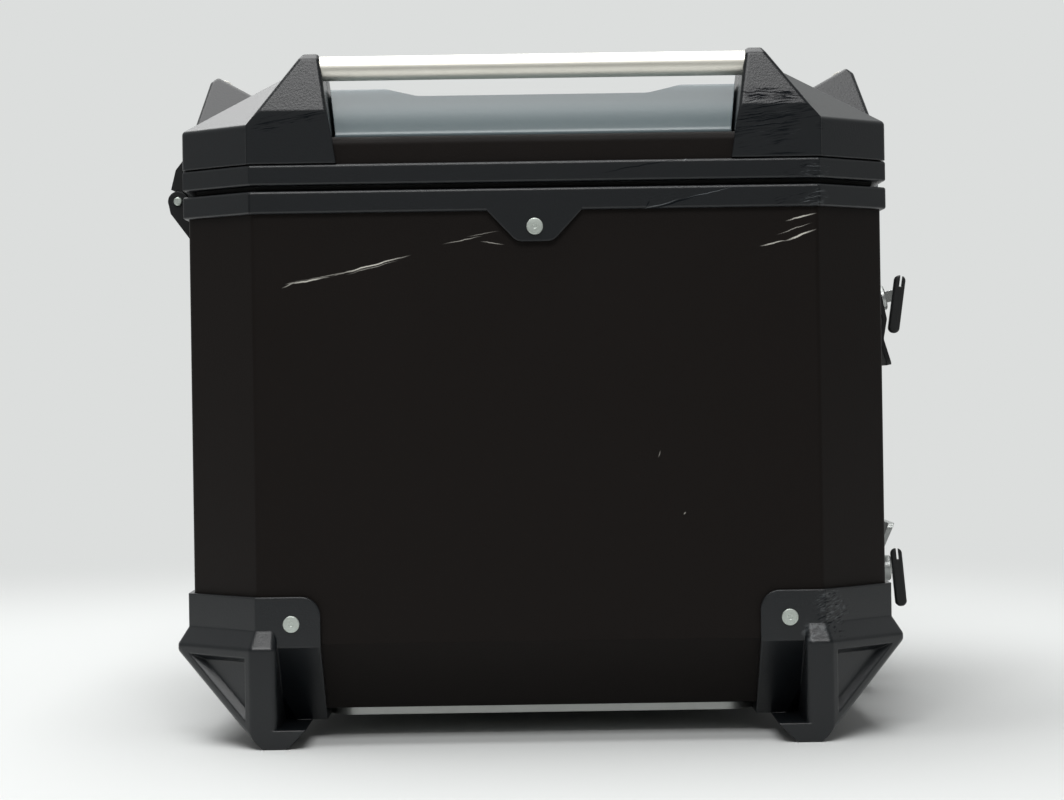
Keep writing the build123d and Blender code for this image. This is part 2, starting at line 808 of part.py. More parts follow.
def corner_cap():
    """Hollow moulded cap with two horns, rail sockets and screw bosses."""
    roof = cap_roof(0)
    roof = fillet([edge for edge in roof.edges() if edge.center().Z > cap_low + 0.5], cap_ease)
    cap = roof & cap_window(0)
    cap += horn()
    cap += horn_on_end()
    cavity = cap_roof(cap_wall) & cap_window(-cap_wall)
    for x, y in cap_screw_spots():
        cavity -= rod(cap_boss_radius, (x, y, cap_low - cap_wall), (x, y, rail_z))
    cap -= cavity
    cap -= prism(-fit, cap_low - 1, pan_top + fit)
    for x, y in cap_screw_spots():
        cap -= bar(cap_screw_radius, (x, y, pan_top), (x, y, pan_top + cap_screw_bite))
    for name in ("right", "rear"):
        cap -= rail(name, rail_radius + fit, fit)
    return cap


# ================================================================ rails
def rail(side, radius, extra):
    """Bar between two caps; extra lengthens it at each end."""
    lean = cap_end_lean / horn_height
    half = cap_half_span + rail_height_over_cap * lean + rail_seat + extra
    y = rim_face_y - rail_inset
    x = rim_face_x - rail_inset
    ends = {
        "right": ((-half, y, rail_z), (half, y, rail_z)),
        "left": ((-half, -y, rail_z), (half, -y, rail_z)),
        "rear": ((x, -half, rail_z), (x, half, rail_z)),
        "front": ((-x, -half, rail_z), (-x, half, rail_z)),
    }
    return rod(radius, *ends[side])


def cap_screws():
    """Screws that hold the caps, driven up from inside the lid."""
    low = pan_top - sheet
    length = sheet + cap_screw_bite - 1
    group = []
    for x, y in cap_screw_spots():
        one = screw((x, y, low), (0, 0, -1), length, cap_screw_radius - fit, cap_screw_head)
        group += four_ways(one).values()
    return group


# ================================================================ hinge
def hinge_zones(lid_side, grow):
    """Blocks along the pin that belong to the lid's knuckles or the body's."""
    reach = knuckle_radius + 14
    zones = []
    start = -hinge_half_length
    for index in range(knuckles):
        if (index % 2 == 1) == lid_side:
            low = start + index * knuckle_length - grow
            high = low + knuckle_length + 2 * grow
            zones.append(block((pin_x - reach, pin_x + reach), (low, high), (pin_z - reach, pin_z + reach)))
    return zones


def pin_bore(radius):
    """Space round the hinge pin, over the whole hinge."""
    length = hinge_half_length + 5
    return rod(radius, (pin_x, -length, pin_z), (pin_x, length, pin_z))


def hinge_leaf(points, lid_side, bore):
    """Bracket with knuckles: its profile, less the other leaf's knuckle zones."""
    leaf = side_plate(points, -hinge_half_length, hinge_half_length)
    barrel = rod(
        knuckle_radius,
        (pin_x, -hinge_half_length, pin_z),
        (pin_x, hinge_half_length, pin_z),
    )
    other = pin_bore(knuckle_radius + knuckle_gap)
    own = barrel
    keep_out = other
    for zone in hinge_zones(not lid_side, knuckle_gap):
        own -= zone
    for zone in hinge_zones(lid_side, 0):
        keep_out -= zone
    return leaf - keep_out + own - pin_bore(bore)


def hinge_body_bracket():
    """Lower leaf, screwed to the body's front wall and tapering down it."""
    wall = -half_depth
    face = -rim_face_x
    points = [
        (face, body_rim_high - 2),
        (face, body_rim_low - fit),
        (wall, body_rim_low - fit),
        (wall, hinge_leaf_low),
        (wall - 2.5, hinge_leaf_low),
        (pin_x - knuckle_radius + 1.2, pin_z - 6),
        (pin_x - knuckle_radius, pin_z),
        (pin_x, pin_z),
        (pin_x + 3, body_rim_high - 2),
    ]
    return hinge_leaf(points, False, hinge_pin_radius)


def hinge_lid_bracket():
    """Upper leaf, screwed to the lid sheet, with a sloping shoulder and a pad."""
    face = -rim_face_x
    points = [
        (face, lid_rim_low + 0.6),
        (face, hinge_shoulder_top),
        (face - 4, hinge_shoulder_top),
        (pin_x - 1, hinge_shoulder_low),
        (pin_x - 3.4, pin_z + 5.8),
        (pin_x - 0.4, pin_z + 4.9),
        (pin_x, pin_z),
        (pin_x + 3, lid_rim_low + 0.6),
    ]
    leaf = hinge_leaf(points, True, hinge_pin_radius + hinge_running)
    return leaf + block(
        (face - 1, -half_depth),
        (-hinge_pad_half, hinge_pad_half),
        (lid_rim_high, hinge_pad_top),
    )


def hinge_pin():
    """Plain pin with a rounded head at each end."""
    pin = pin_bore(hinge_pin_radius)
    trim = block((pin_x - 9, pin_x + 9), (hinge_half_length + pin_head, 400), (pin_z - 9, pin_z + 9))
    pin = pin - trim - mirror(trim, about=Plane.XZ)
    ends = pin.edges().filter_by(GeomType.CIRCLE)
    return chamfer(ends, 0.5)


def hinge_screw_spots(z, face):
    """Screw places along one leaf, driven outwards from inside the case."""
    return [((face, y, z), (1, 0, 0)) for y in (-hinge_screw_y, 0, hinge_screw_y)]


def lower_hinge_spots():
    """Screws through the rim's inner skirt and the front wall."""
    return hinge_screw_spots(hinge_screw_low, -half_depth + sheet + fit + skirt_thick)


def upper_hinge_spots():
    """Screws through the lid sheet."""
    return hinge_screw_spots(hinge_screw_high, -half_depth + sheet)


def screw_holes(spots, length, radius):
    """Holes for a row of screws."""
    holes = []
    for spot, out in spots:
        start = Vector(*spot) + Vector(*out)
        holes.append(bar(radius, start - Vector(*out) * (length + 1.5), start))
    return holes


# ================================================================ locks and keys
def collar(axis_z, start, stand):
    """Bright ring round a lock's face."""
    outer = barrel_radius + collar_wall
    band = rod(outer, (start, 0, axis_z), (start + stand, 0, axis_z))
    band = chamfer(band.edges().sort_by(Axis.X)[-1], 0.7)
    bore = barrel_radius + barrel_running
    return band - rod(bore, (start - 1, 0, axis_z), (start + stand + 1, 0, axis_z))


def lock_barrel(axis_z, end):
    """Lock barrel with a keyway in its face."""
    core = rod(barrel_radius, (lock_back, 0, axis_z), (end, 0, axis_z))
    half = key_blade_width / 2 + fit
    slot = block(
        (end - key_slot_depth, end + 1),
        (-key_slot / 2, key_slot / 2),
        (axis_z - half, axis_z + half),
    )
    return core - slot


def lock_cam(axis_z, direction):
    """Flat tongue on the back of a barrel; direction is 1 for up, -1 for down."""
    low, high = sorted((axis_z, axis_z + direction * cam_length))
    arm = block((lock_back - cam_thick, lock_back), (-cam_half, cam_half), (low, high))
    tips = arm.edges().filter_by(Axis.X).sort_by(lambda edge: direction * edge.center().Z)
    arm = fillet(tips[-2:], cam_half - 0.3)
    hub_radius = barrel_radius - 0.5
    return arm + rod(hub_radius, (lock_back - cam_thick, 0, axis_z), (lock_back, 0, axis_z))


def key_blade(axis_z, centre):
    """Flat blade of a key, up to the middle of its bow."""
    blade_half = key_slot / 2 - fit
    half = key_blade_width / 2
    start = centre - key_blade_length
    return block((start, centre), (-blade_half, blade_half), (axis_z - half, axis_z + half))


def key_bow(axis_z, centre, lean):
    """Moulded bow with a notch for its ring, leaning at its own angle."""
    bow = Box(key_bow_depth, key_bow_thick, key_bow_length)
    bow = fillet(bow.edges().filter_by(Axis.Y), key_bow_depth / 2 - 0.2)
    bow = chamfer(bow.faces().filter_by(Plane.XZ).edges(), key_bow_round)
    bow -= Pos(0.6, 0, key_bow_length / 2) * Box(key_notch, key_bow_thick + 1, 2 * key_notch_depth)
    bow = Pos(centre, 0, axis_z - key_bow_drop) * Rot(0, lean, 0) * bow
    return bow - key_blade(axis_z, centre)


def keeper(axis_z):
    """Post and tongue that a lock's cam turns behind."""
    root = half_depth + latch_back
    far = keeper_y + keeper_width
    post = block((root - 1, root + keeper_stand), (far - keeper_post, far), (axis_z - 4, axis_z + 4))
    tongue = block(
        (root + keeper_stand - keeper_thick, root + keeper_stand),
        (keeper_y, far),
        (axis_z - 4, axis_z + 4),
    )
    return post + tongue


# ================================================================ lid latch
def at_rest(shape):
    """Turns a closed latch part to the sprung-open angle that it rests at."""
    pivot = Pos(latch_x, 0, latch_axis_height)
    return pivot * Rot(0, -latch_rest_angle, 0) * pivot.inverse() * shape


def hook_axis():
    """The claw's pin axis with the latch closed, in X and Z."""
    return latch_x + hook_pin_out, latch_axis_height - hook_pin_drop


def latch_base():
    """Frame on the rear wall: back plate, two cheeks and the keeper for the cam."""
    back = block(
        (half_depth, half_depth + latch_back), (-latch_half, latch_half), (latch_low, latch_high)
    )
    back = fillet(back.edges().filter_by(Axis.X), 5)
    root = half_depth + latch_back
    profile = [
        (root - 1, latch_high - 3),
        (root + cheek_depth - 4, latch_high - 3),
        (root + cheek_depth, latch_high - 9),
        (root + cheek_depth, latch_axis_height - 12),
        (root + 3, latch_low + 4),
        (root - 1, latch_low + 4),
    ]
    side = side_plate(profile, latch_half - cheek, latch_half)
    frame = back + side + mirror(side, about=Plane.XZ)
    frame = frame - rod(
        latch_pin_radius,
        (latch_x, -latch_half - 1, latch_axis_height),
        (latch_x, latch_half + 1, latch_axis_height),
    )
    return frame + keeper(latch_lock_z)


def latch_pin():
    """Pin through the cheeks that the lever swings on."""
    out = latch_half + 0.8
    return rod(latch_pin_radius, (latch_x, -out, latch_axis_height), (latch_x, out, latch_axis_height))


def closed_lever():
    """Pressed lever, shut: plate, finger lip, side walls, lugs and lock boss."""
    inner = half_depth + lever_plate_out
    outer = inner + lever_plate
    half = latch_half - cheek - lever_side_gap
    top = latch_axis_height + 1
    grip_top = latch_axis_height - lever_grip_top
    grip_low = latch_axis_height - lever_grip_low
    lip = latch_axis_height - lever_lip_low
    profile = [
        (inner, top),
        (outer, top),
        (outer, grip_top),
        (outer - lever_grip_in, grip_low),
        (outer - lever_grip_in + lever_lip_out, lip),
        (inner - lever_grip_in + lever_lip_out, lip),
        (inner - lever_grip_in, grip_low),
        (inner, grip_top),
    ]
    plate = side_plate(profile, -half, half)
    bends = plate.edges().filter_by(Axis.Y).group_by(Axis.Z)
    plate = fillet(bends[1] + bends[2], 4)
    plate = fillet(lip_corners(plate.edges().group_by(Axis.Z)[0]), 3)
    wall_profile = [
        (inner + 1, top),
        (latch_x + 2, top),
        (latch_x - 2, latch_axis_height - 3),
        (inner - 3, latch_axis_height - 22),
        (inner - 3, grip_top + 3),
        (inner + 1, grip_top + 3),
    ]
    wall = side_plate(wall_profile, half - lever_wall, half)
    lug = rod(
        lever_lug_radius,
        (latch_x, half - lever_wall, latch_axis_height),
        (latch_x, half, latch_axis_height),
    )
    side = wall + lug
    lever = plate + side + mirror(side, about=Plane.XZ)
    lever += lock_boss(latch_lock_z, inner)
    lever -= lock_bore(latch_lock_z, outer)
    lever -= block(
        (inner - 1, outer + 1),
        (-lever_notch_half, lever_notch_half),
        (latch_axis_height - lever_notch_drop, top + 1),
    )
    lever -= rod(
        latch_pin_radius + hinge_running,
        (latch_x, -latch_half, latch_axis_height),
        (latch_x, latch_half, latch_axis_height),
    )
    x, z = hook_axis()
    return lever - rod(hook_pin_radius, (x, -half - 1, z), (x, half + 1, z))


def lip_corners(edges):
    """The short edges at the two corners of a lever's lip."""
    return edges.filter_by(Axis.X)


def lock_boss(axis_z, end):
    """Boss behind a lever's plate that holds its lock."""
    return rod(barrel_radius + boss_wall, (lock_back, 0, axis_z), (end + 1, 0, axis_z))


def lock_bore(axis_z, end):
    """Bore that a lock's barrel turns in."""
    radius = barrel_radius + barrel_running
    return rod(radius, (lock_back - 1, 0, axis_z), (end + 1, 0, axis_z))


def latch_hook_pin():
    """Pin across the lever that the claw turns on."""
    x, z = hook_axis()
    half = latch_half - cheek - lever_side_gap - fit
    return rod(hook_pin_radius, (x, -half, z), (x, half, z))


def closed_claw():
    """Claw that hooks over the striker, as it stands with the latch shut."""
    x, z = hook_axis()
    ledge_top = lid_rim_low + striker_over_rim + striker_thick
    low = ledge_top + claw_gap
    tip = rim_face_x + striker_plate + 0.8
    profile = [
        (x - claw_thick / 2, z),
        (x - claw_thick / 2, low),
        (tip, low),
        (tip, low + claw_depth - 0.8),
        (tip + 0.8, low + claw_depth),
        (x + claw_thick / 2, low + claw_depth),
        (x + claw_thick / 2, z),
    ]
    plate = side_plate(profile, -claw_half, claw_half)
    eye = rod(claw_eye_radius, (x, -claw_half, z), (x, claw_half, z))
    bore = rod(hook_pin_radius + hinge_running, (x, -claw_half - 1, z), (x, claw_half + 1, z))
    window = block((x - 5, x + 5), (-claw_half + 3, claw_half - 3), (z + 12, low - 9))
    return plate + eye - bore - window


def resting_claw():
    """The claw carried out with the lever and tilted clear of the striker."""
    x, z = hook_axis()
    angle = radians(latch_rest_angle)
    dx = hook_pin_out * cos(angle) + hook_pin_drop * sin(angle) - hook_pin_out
    dz = hook_pin_out * sin(angle) - hook_pin_drop * cos(angle) + hook_pin_drop
    tilt = claw_tilt_share * latch_rest_angle
    pivot = Pos(x, 0, z)
    return Pos(dx, 0, dz) * pivot * Rot(0, tilt, 0) * pivot.inverse() * closed_claw()


def striker():
    """Ledge on the lid rim that the claw pulls down on."""
    low = lid_rim_low + striker_over_rim
    face = rim_face_x
    plate = block(
        (face, face + striker_plate), (-striker_half, striker_half), (lid_rim_low + 0.8, lid_rim_high - 0.4)
    )
    ledge = block(
        (face, face + striker_ledge),
        (-striker_ledge_half, striker_ledge_half),
        (low, low + striker_thick),
    )
    nose = ledge.edges().filter_by(Axis.Y).group_by(Axis.X)[-1]
    return plate + fillet(nose, 0.9)


# ================================================================ rack release
def release_housing():
    """Moulded housing low on the rear wall, following the floor facet."""
    wall = half_depth
    back = wall + latch_back
    out = wall + release_block_out
    floor_run = floor_height + floor_cut - release_low
    body = [
        (wall, release_high),
        (back, release_high),
        (back, release_shelf),
        (out, release_shelf),
        (out, release_low + 8),
        (out - 8, release_low),
        (wall - floor_run + fit, release_low),
        (wall + fit, floor_height + floor_cut),
    ]
    housing = side_plate(body, -release_half, release_half)
    cheek_points = [
        (back - 1, release_high - 16),
        (back + 6, release_high - 20),
        (out + 1, release_high - 30),
        (out + 1, release_shelf - 1),
        (back - 1, release_shelf - 1),
    ]
    side = side_plate(cheek_points, release_half - cheek, release_half)
    housing = housing + side + mirror(side, about=Plane.XZ)
    housing -= rod(
        latch_pin_radius,
        (release_x, -release_half - 1, release_axis_height),
        (release_x, release_half + 1, release_axis_height),
    )
    bolt_x = wall + bolt_out
    bore = rod(bolt_radius + barrel_running, (bolt_x, 0, 0), (bolt_x, 0, bolt_head + 10))
    return housing - bore + keeper(release_lock_z)


def release_pins():
    """Two stub pins, one in each cheek, that leave the middle free for the bolt."""
    inner = release_half - cheek - lever_side_gap - lever_wall - 1
    pin = rod(
        latch_pin_radius,
        (release_x, inner, release_axis_height),
        (release_x, release_half + 0.8, release_axis_height),
    )
    return pin + mirror(pin, about=Plane.XZ)


def release_lever():
    """Bright lever: plate, lip that leans out at its top, side walls and lock boss."""
    inner = half_depth + release_plate_out
    outer = inner + release_plate
    half = release_half - cheek - lever_side_gap
    low = release_axis_height - 1
    lip_low = release_axis_height + release_lip_low
    lip_top = release_axis_height + release_lip_high
    profile = [
        (inner, low),
        (outer, low),
        (outer, lip_low),
        (outer + release_lip_out, lip_top),
        (outer + release_lip_out - release_plate, lip_top),
        (inner, lip_low),
    ]
    plate = side_plate(profile, -half, half)
    bends = plate.edges().filter_by(Axis.Y).group_by(Axis.Z)
    plate = fillet(bends[-2], 4)
    plate = fillet(lip_corners(plate.edges().group_by(Axis.Z)[-1]), 3)
    wall_profile = [
        (inner + 1, low),
        (release_x, low),
        (release_x - 2, release_axis_height + 3),
        (inner - 3, lip_low - 4),
        (inner + 1, lip_low - 2),
    ]
    wall = side_plate(wall_profile, half - lever_wall, half)
    lug = rod(
        release_lug_radius,
        (release_x, half - lever_wall, release_axis_height),
        (release_x, half, release_axis_height),
    )
    side = wall + lug
    lever = plate + side + mirror(side, about=Plane.XZ)
    lever += lock_boss(release_lock_z, inner)
    lever -= lock_bore(release_lock_z, outer)
    return lever - rod(
        latch_pin_radius + hinge_running,
        (release_x, -release_half, release_axis_height),
        (release_x, release_half, release_axis_height),
    )


def release_bolt():
    """Round bolt that drops behind the rack's rear edge, with a chamfered tip."""
    x = half_depth + bolt_out
    bolt = rod(bolt_radius, (x, 0, bolt_tip), (x, 0, bolt_head))
    tip = bolt.edges().sort_by(Axis.Z)[0]
    return chamfer(tip, 1.5)


# ================================================================ fasteners
def latch_rivet_spots():
    """Rivets through the latch base."""
    x = half_depth + latch_back
    heights = (latch_low + latch_rivet_rise, latch_high - latch_rivet_rise - 4)
    return [((x, y, z), (1, 0, 0)) for y in (-latch_rivet_y, latch_rivet_y) for z in heights]


def release_rivet_spots():
    """Rivets through the back of the release housing."""
    x = half_depth + latch_back
    heights = (release_rivet_low, release_rivet_high)
    return [((x, y, z), (1, 0, 0)) for y in (-latch_rivet_y, latch_rivet_y) for z in heights]


def striker_screw_spots():
    """Screws that hold the striker on the lid rim."""
    x = rim_face_x + striker_plate
    z = lid_rim_low + striker_screw_rise
    return [((x, y, z), (1, 0, 0)) for y in (-striker_screw_y, striker_screw_y)]


def rivets(spots, grip):
    """A group of equal rivets."""
    return [rivet(spot, out, grip) for spot, out in spots]


def screws(spots, length, radius, head_radius):
    """A group of equal screws."""
    return [screw(spot, out, length, radius, head_radius) for spot, out in spots]


def cut_holes(shape, tools):
    """The shape with every tool cut from it."""
    for tool in tools:
        shape -= tool
    return shape


# ================================================================ assembly
def build_body():
    """Every piece that stays with the body of the case."""
    skin_grip = rim_proud + sheet + fit + skirt_thick
    guard_grip = guard_thick + sheet
    plate_grip = plate_thick + sheet
    base_grip = latch_back + sheet
    tab_spots = tab_rivet_spots()
    guard_spots = protector_rivet_spots()
    plate_spots = plate_rivet_spots()
    latch_spots = latch_rivet_spots()
    release_spots = release_rivet_spots()
    lower_hinge = screw_holes(lower_hinge_spots(), hinge_screw_length, hinge_screw_radius)
    tab_holes = [rivet_hole(spot, out, skin_grip) for spot, out in tab_spots]
    guard_holes = [rivet_hole(spot, out, guard_grip) for spot, out in guard_spots]
    plate_holes = [rivet_hole(spot, out, plate_grip) for spot, out in plate_spots]
    latch_holes = [rivet_hole(spot, out, base_grip) for spot, out in latch_spots]
    release_holes = [rivet_hole(spot, out, base_grip) for spot, out in release_spots]
    rack = rack_holes(floor_height - plate_thick - 1, floor_height + sheet + 1)
    shell_cuts = tab_holes + guard_holes + plate_holes + latch_holes + release_holes
    shell = cut_holes(body_shell(), shell_cuts + rack + lower_hinge)
    rim = cut_holes(body_rim(), tab_holes + lower_hinge)
    wedges = rim_wedges()
    parts = {
        "body_shell": shell,
        "body_rim": rim - wedges,
        "body_rim_corners": in_order(rim & wedges),
        "base_plate": cut_holes(base_plate(), plate_holes + rack),
        "rack_hooks": rack_hooks(),
        "rim_rivets": rivets(tab_spots, skin_grip),
        "protector_rivets": rivets(guard_spots, guard_grip),
        "base_plate_rivets": rivets(plate_spots, plate_grip),
        "hinge_body_bracket": cut_holes(hinge_body_bracket(), lower_hinge),
        "hinge_pin": hinge_pin(),
        "hinge_body_screws": screws(
            lower_hinge_spots(), hinge_screw_length, hinge_screw_radius - fit, hinge_screw_head
        ),
        "latch_base": cut_holes(latch_base(), latch_holes),
        "latch_base_rivets": rivets(latch_spots, base_grip),
        "latch_pivot_pin": latch_pin(),
        "release_housing": cut_holes(release_housing(), release_holes),
        "release_housing_rivets": rivets(release_spots, base_grip),
        "release_pivot_pins": release_pins(),
    }
    guards = four_ways(protector())
    for name, guard in guards.items():
        parts["protector_" + name] = cut_holes(guard, guard_holes)
    return parts


def build_lid():
    """Every piece that swings with the lid."""
    upper_hinge = screw_holes(upper_hinge_spots(), hinge_screw_length, hinge_screw_radius)
    striker_holes = screw_holes(striker_screw_spots(), striker_screw_length, hinge_screw_radius)
    screw_cuts = []
    for x, y in cap_screw_spots():
        drill = bar(cap_screw_radius, (x, y, pan_top - 5), (x, y, pan_top + 1))
        screw_cuts += four_ways(drill).values()
    parts = {
        "lid_pan": cut_holes(lid_pan(), upper_hinge + screw_cuts),
        "lid_rim": cut_holes(lid_rim(), striker_holes),
        "lid_seal": lid_seal(),
        "lid_cover": lid_cover(),
        "cap_screws": cap_screws(),
        "hinge_lid_bracket": cut_holes(hinge_lid_bracket(), upper_hinge),
        "hinge_lid_screws": screws(
            upper_hinge_spots(), hinge_screw_length, hinge_screw_radius - fit, hinge_screw_head
        ),
        "latch_striker": cut_holes(striker(), striker_holes),
        "striker_screws": screws(
            striker_screw_spots(), striker_screw_length, hinge_screw_radius - fit, striker_screw_head
        ),
    }
    for name, cap in four_ways(corner_cap()).items():
        parts["cap_" + name] = cap
    for side in ("left", "right", "front", "rear"):
        parts["rail_" + side] = rail(side, rail_radius, 0)
    return parts


def build_locks():
    """Both levers with their locks, the claw, the keys and the release bolt."""
    latch_face = latch_lock_x + lever_collar_stand
    release_face = release_lock_x + release_collar_stand
    latch_key = latch_face + latch_key_stand
    release_key = release_face + release_key_stand
    return {
        "latch_lever": at_rest(closed_lever()),
        "latch_collar": at_rest(collar(latch_lock_z, latch_lock_x, lever_collar_stand)),
        "latch_claw_pin": at_rest(latch_hook_pin()),
        "latch_claw": resting_claw(),
        "latch_barrel": at_rest(lock_barrel(latch_lock_z, latch_face)),
        "latch_cam": at_rest(lock_cam(latch_lock_z, -1)),
        "latch_key": at_rest(key_blade(latch_lock_z, latch_key)),
        "latch_key_bow": at_rest(key_bow(latch_lock_z, latch_key, latch_key_lean)),
        "release_lever": release_lever(),
        "release_collar": collar(release_lock_z, release_lock_x, release_collar_stand),
        "release_barrel": lock_barrel(release_lock_z, release_face),
        "release_cam": lock_cam(release_lock_z, 1),
        "release_key": key_blade(release_lock_z, release_key),
        "release_key_bow": key_bow(release_lock_z, release_key, release_key_lean),
        "release_bolt": release_bolt(),
    }


def save(name, shape):
    """Writes one node, moved so that x = 0 is the middle of the whole length."""
    solids = shape if isinstance(shape, list) else [shape]
    placed = [Pos(-origin_x, 0, 0) * solid for solid in solids]
    whole = placed[0] if len(placed) == 1 else Compound(children=placed)
    export_step(whole, os.path.join("parts", name + ".step"))


def main():
    """Builds every node and writes it to the parts folder."""
    os.makedirs("parts", exist_ok=True)
    for group in (build_body(), build_lid(), build_locks()):
        for name, shape in group.items():
            save(name, shape)


main()
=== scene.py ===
"""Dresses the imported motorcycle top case: real finishes, small trim, a plain studio and its camera."""

import json
import logging
import math
from dataclasses import dataclass
from enum import Enum
from typing import Any

import bmesh
import bpy
from mathutils import Matrix, Vector


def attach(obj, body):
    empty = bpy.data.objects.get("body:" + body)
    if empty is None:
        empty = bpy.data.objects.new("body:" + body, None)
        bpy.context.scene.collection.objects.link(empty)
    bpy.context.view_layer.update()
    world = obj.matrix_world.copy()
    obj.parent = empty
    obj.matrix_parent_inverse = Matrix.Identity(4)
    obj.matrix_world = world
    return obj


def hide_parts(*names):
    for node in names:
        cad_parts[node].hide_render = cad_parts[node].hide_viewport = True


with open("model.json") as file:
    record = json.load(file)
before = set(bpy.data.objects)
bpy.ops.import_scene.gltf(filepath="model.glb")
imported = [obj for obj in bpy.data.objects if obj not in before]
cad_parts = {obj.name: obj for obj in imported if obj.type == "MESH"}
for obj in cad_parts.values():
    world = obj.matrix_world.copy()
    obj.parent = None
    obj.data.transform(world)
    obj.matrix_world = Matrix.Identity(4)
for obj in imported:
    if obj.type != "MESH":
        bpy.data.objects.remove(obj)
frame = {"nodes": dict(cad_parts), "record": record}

LOG = logging.getLogger("top_case")
MM = 0.001
SAME_POINT = 0.01 * MM  # points of a CAD mesh that are nearer than this are one
TURN_SEAM = 0.001 * MM  # the same, where a turned form closes on itself
LEFT_FACE = -120.0  # Y in millimetres, beyond which a surface is on the worn left side
BEVEL_SAMPLES = 6


class Slot(Enum):
    """The record's material slots."""

    SHELL = "shell_coat"
    STEEL = "black_steel"
    MOULDED = "moulded_plastic"
    COVER = "cover_paint"
    SEAL = "seal_rubber"
    RAIL = "rail_aluminium"
    PLATE = "base_aluminium"
    RIVET = "rivet_aluminium"
    ZINC = "zinc_steel"
    LEVER = "lever_aluminium"
    LOCK = "lock_chrome"
    HOUSING = "housing_plastic"
    KEY = "key_steel"


def to_linear(hex_colour: str) -> tuple[float, float, float, float]:
    """Turns an sRGB hex colour into linear values.

    Args:
        hex_colour: The colour as "#rrggbb".

    Returns:
        Linear red, green, blue and an alpha of 1.
    """
    channels = []
    for start in (1, 3, 5):
        value = int(hex_colour[start : start + 2], 16) / 255
        channels.append(value / 12.92 if value <= 0.04045 else ((value + 0.055) / 1.055) ** 2.4)
    return (*channels, 1.0)


def add_node(
    tree: bpy.types.NodeTree, kind: str, inputs: dict[Any, Any] | None = None, **settings: Any
) -> bpy.types.Node:
    """Adds a node with its settings, values and links.

    Args:
        tree: The node tree it goes in.
        kind: Blender's name for the node.
        inputs: What goes into each input, by name or number: a value, or a socket to link.
        settings: The node's own properties.

    Returns:
        The new node.
    """
    made = tree.nodes.new(kind)
    for name, value in settings.items():
        setattr(made, name, value)
    for name, value in (inputs or {}).items():
        socket = made.inputs[name]
        if isinstance(value, bpy.types.NodeSocket):
            tree.links.new(value, socket)
        else:
            socket.default_value = value
    return made


def per_mm(size: float) -> float:
    """Texture scale that makes a pattern's cell this many millimetres wide."""
    return 1 / (size * MM)


@dataclass(frozen=True)
class Scratch:
    """One long thin scratch on the case's left face, tapering at both ends.

    Attributes:
        start: Its left end, X and Z, in millimetres.
        end: Its right end, X and Z, in millimetres.
        width: Its full width at the middle, in millimetres.
        strength: How fully it hides the finish below it.
        core: Share of its width that is at full strength, before it fades.
    """

    start: tuple[float, float]
    end: tuple[float, float]
    width: float
    strength: float
    core: float = 0.35

    def mask(self, tree: bpy.types.NodeTree, place: bpy.types.NodeSocket) -> bpy.types.NodeSocket:
        """Builds the scratch's mask.

        Args:
            tree: The material's node tree.
            place: Object coordinates, a little disturbed so that no scratch is dead straight.

        Returns:
            A socket that is the strength on the scratch and 0 off it.
        """
        run = Vector(self.end) - Vector(self.start)
        middle = (Vector(self.end) + Vector(self.start)) * (MM / 2)
        unit = add_node(
            tree,
            "ShaderNodeMapping",
            {
                "Vector": place,
                "Location": (middle.x, 0.0, middle.y),
                "Rotation": (0.0, -math.atan2(run.y, run.x), 0.0),
                "Scale": (run.length / 2 * MM, 1.0, self.width / 2 * MM),
            },
            vector_type="TEXTURE",
        )
        reach = add_node(
            tree,
            "ShaderNodeVectorMath",
            {0: unit.outputs[0], 1: (1.0, 0.0, 1.0)},
            operation="MULTIPLY",
        )
        away = add_node(tree, "ShaderNodeVectorMath", {0: reach.outputs[0]}, operation="LENGTH")
        inside = add_node(
            tree,
            "ShaderNodeMapRange",
            {
                "Value": away.outputs["Value"],
                "From Min": 1.0,
                "From Max": self.core,
                "To Max": self.strength,
            },
        )
        return inside.outputs[0]


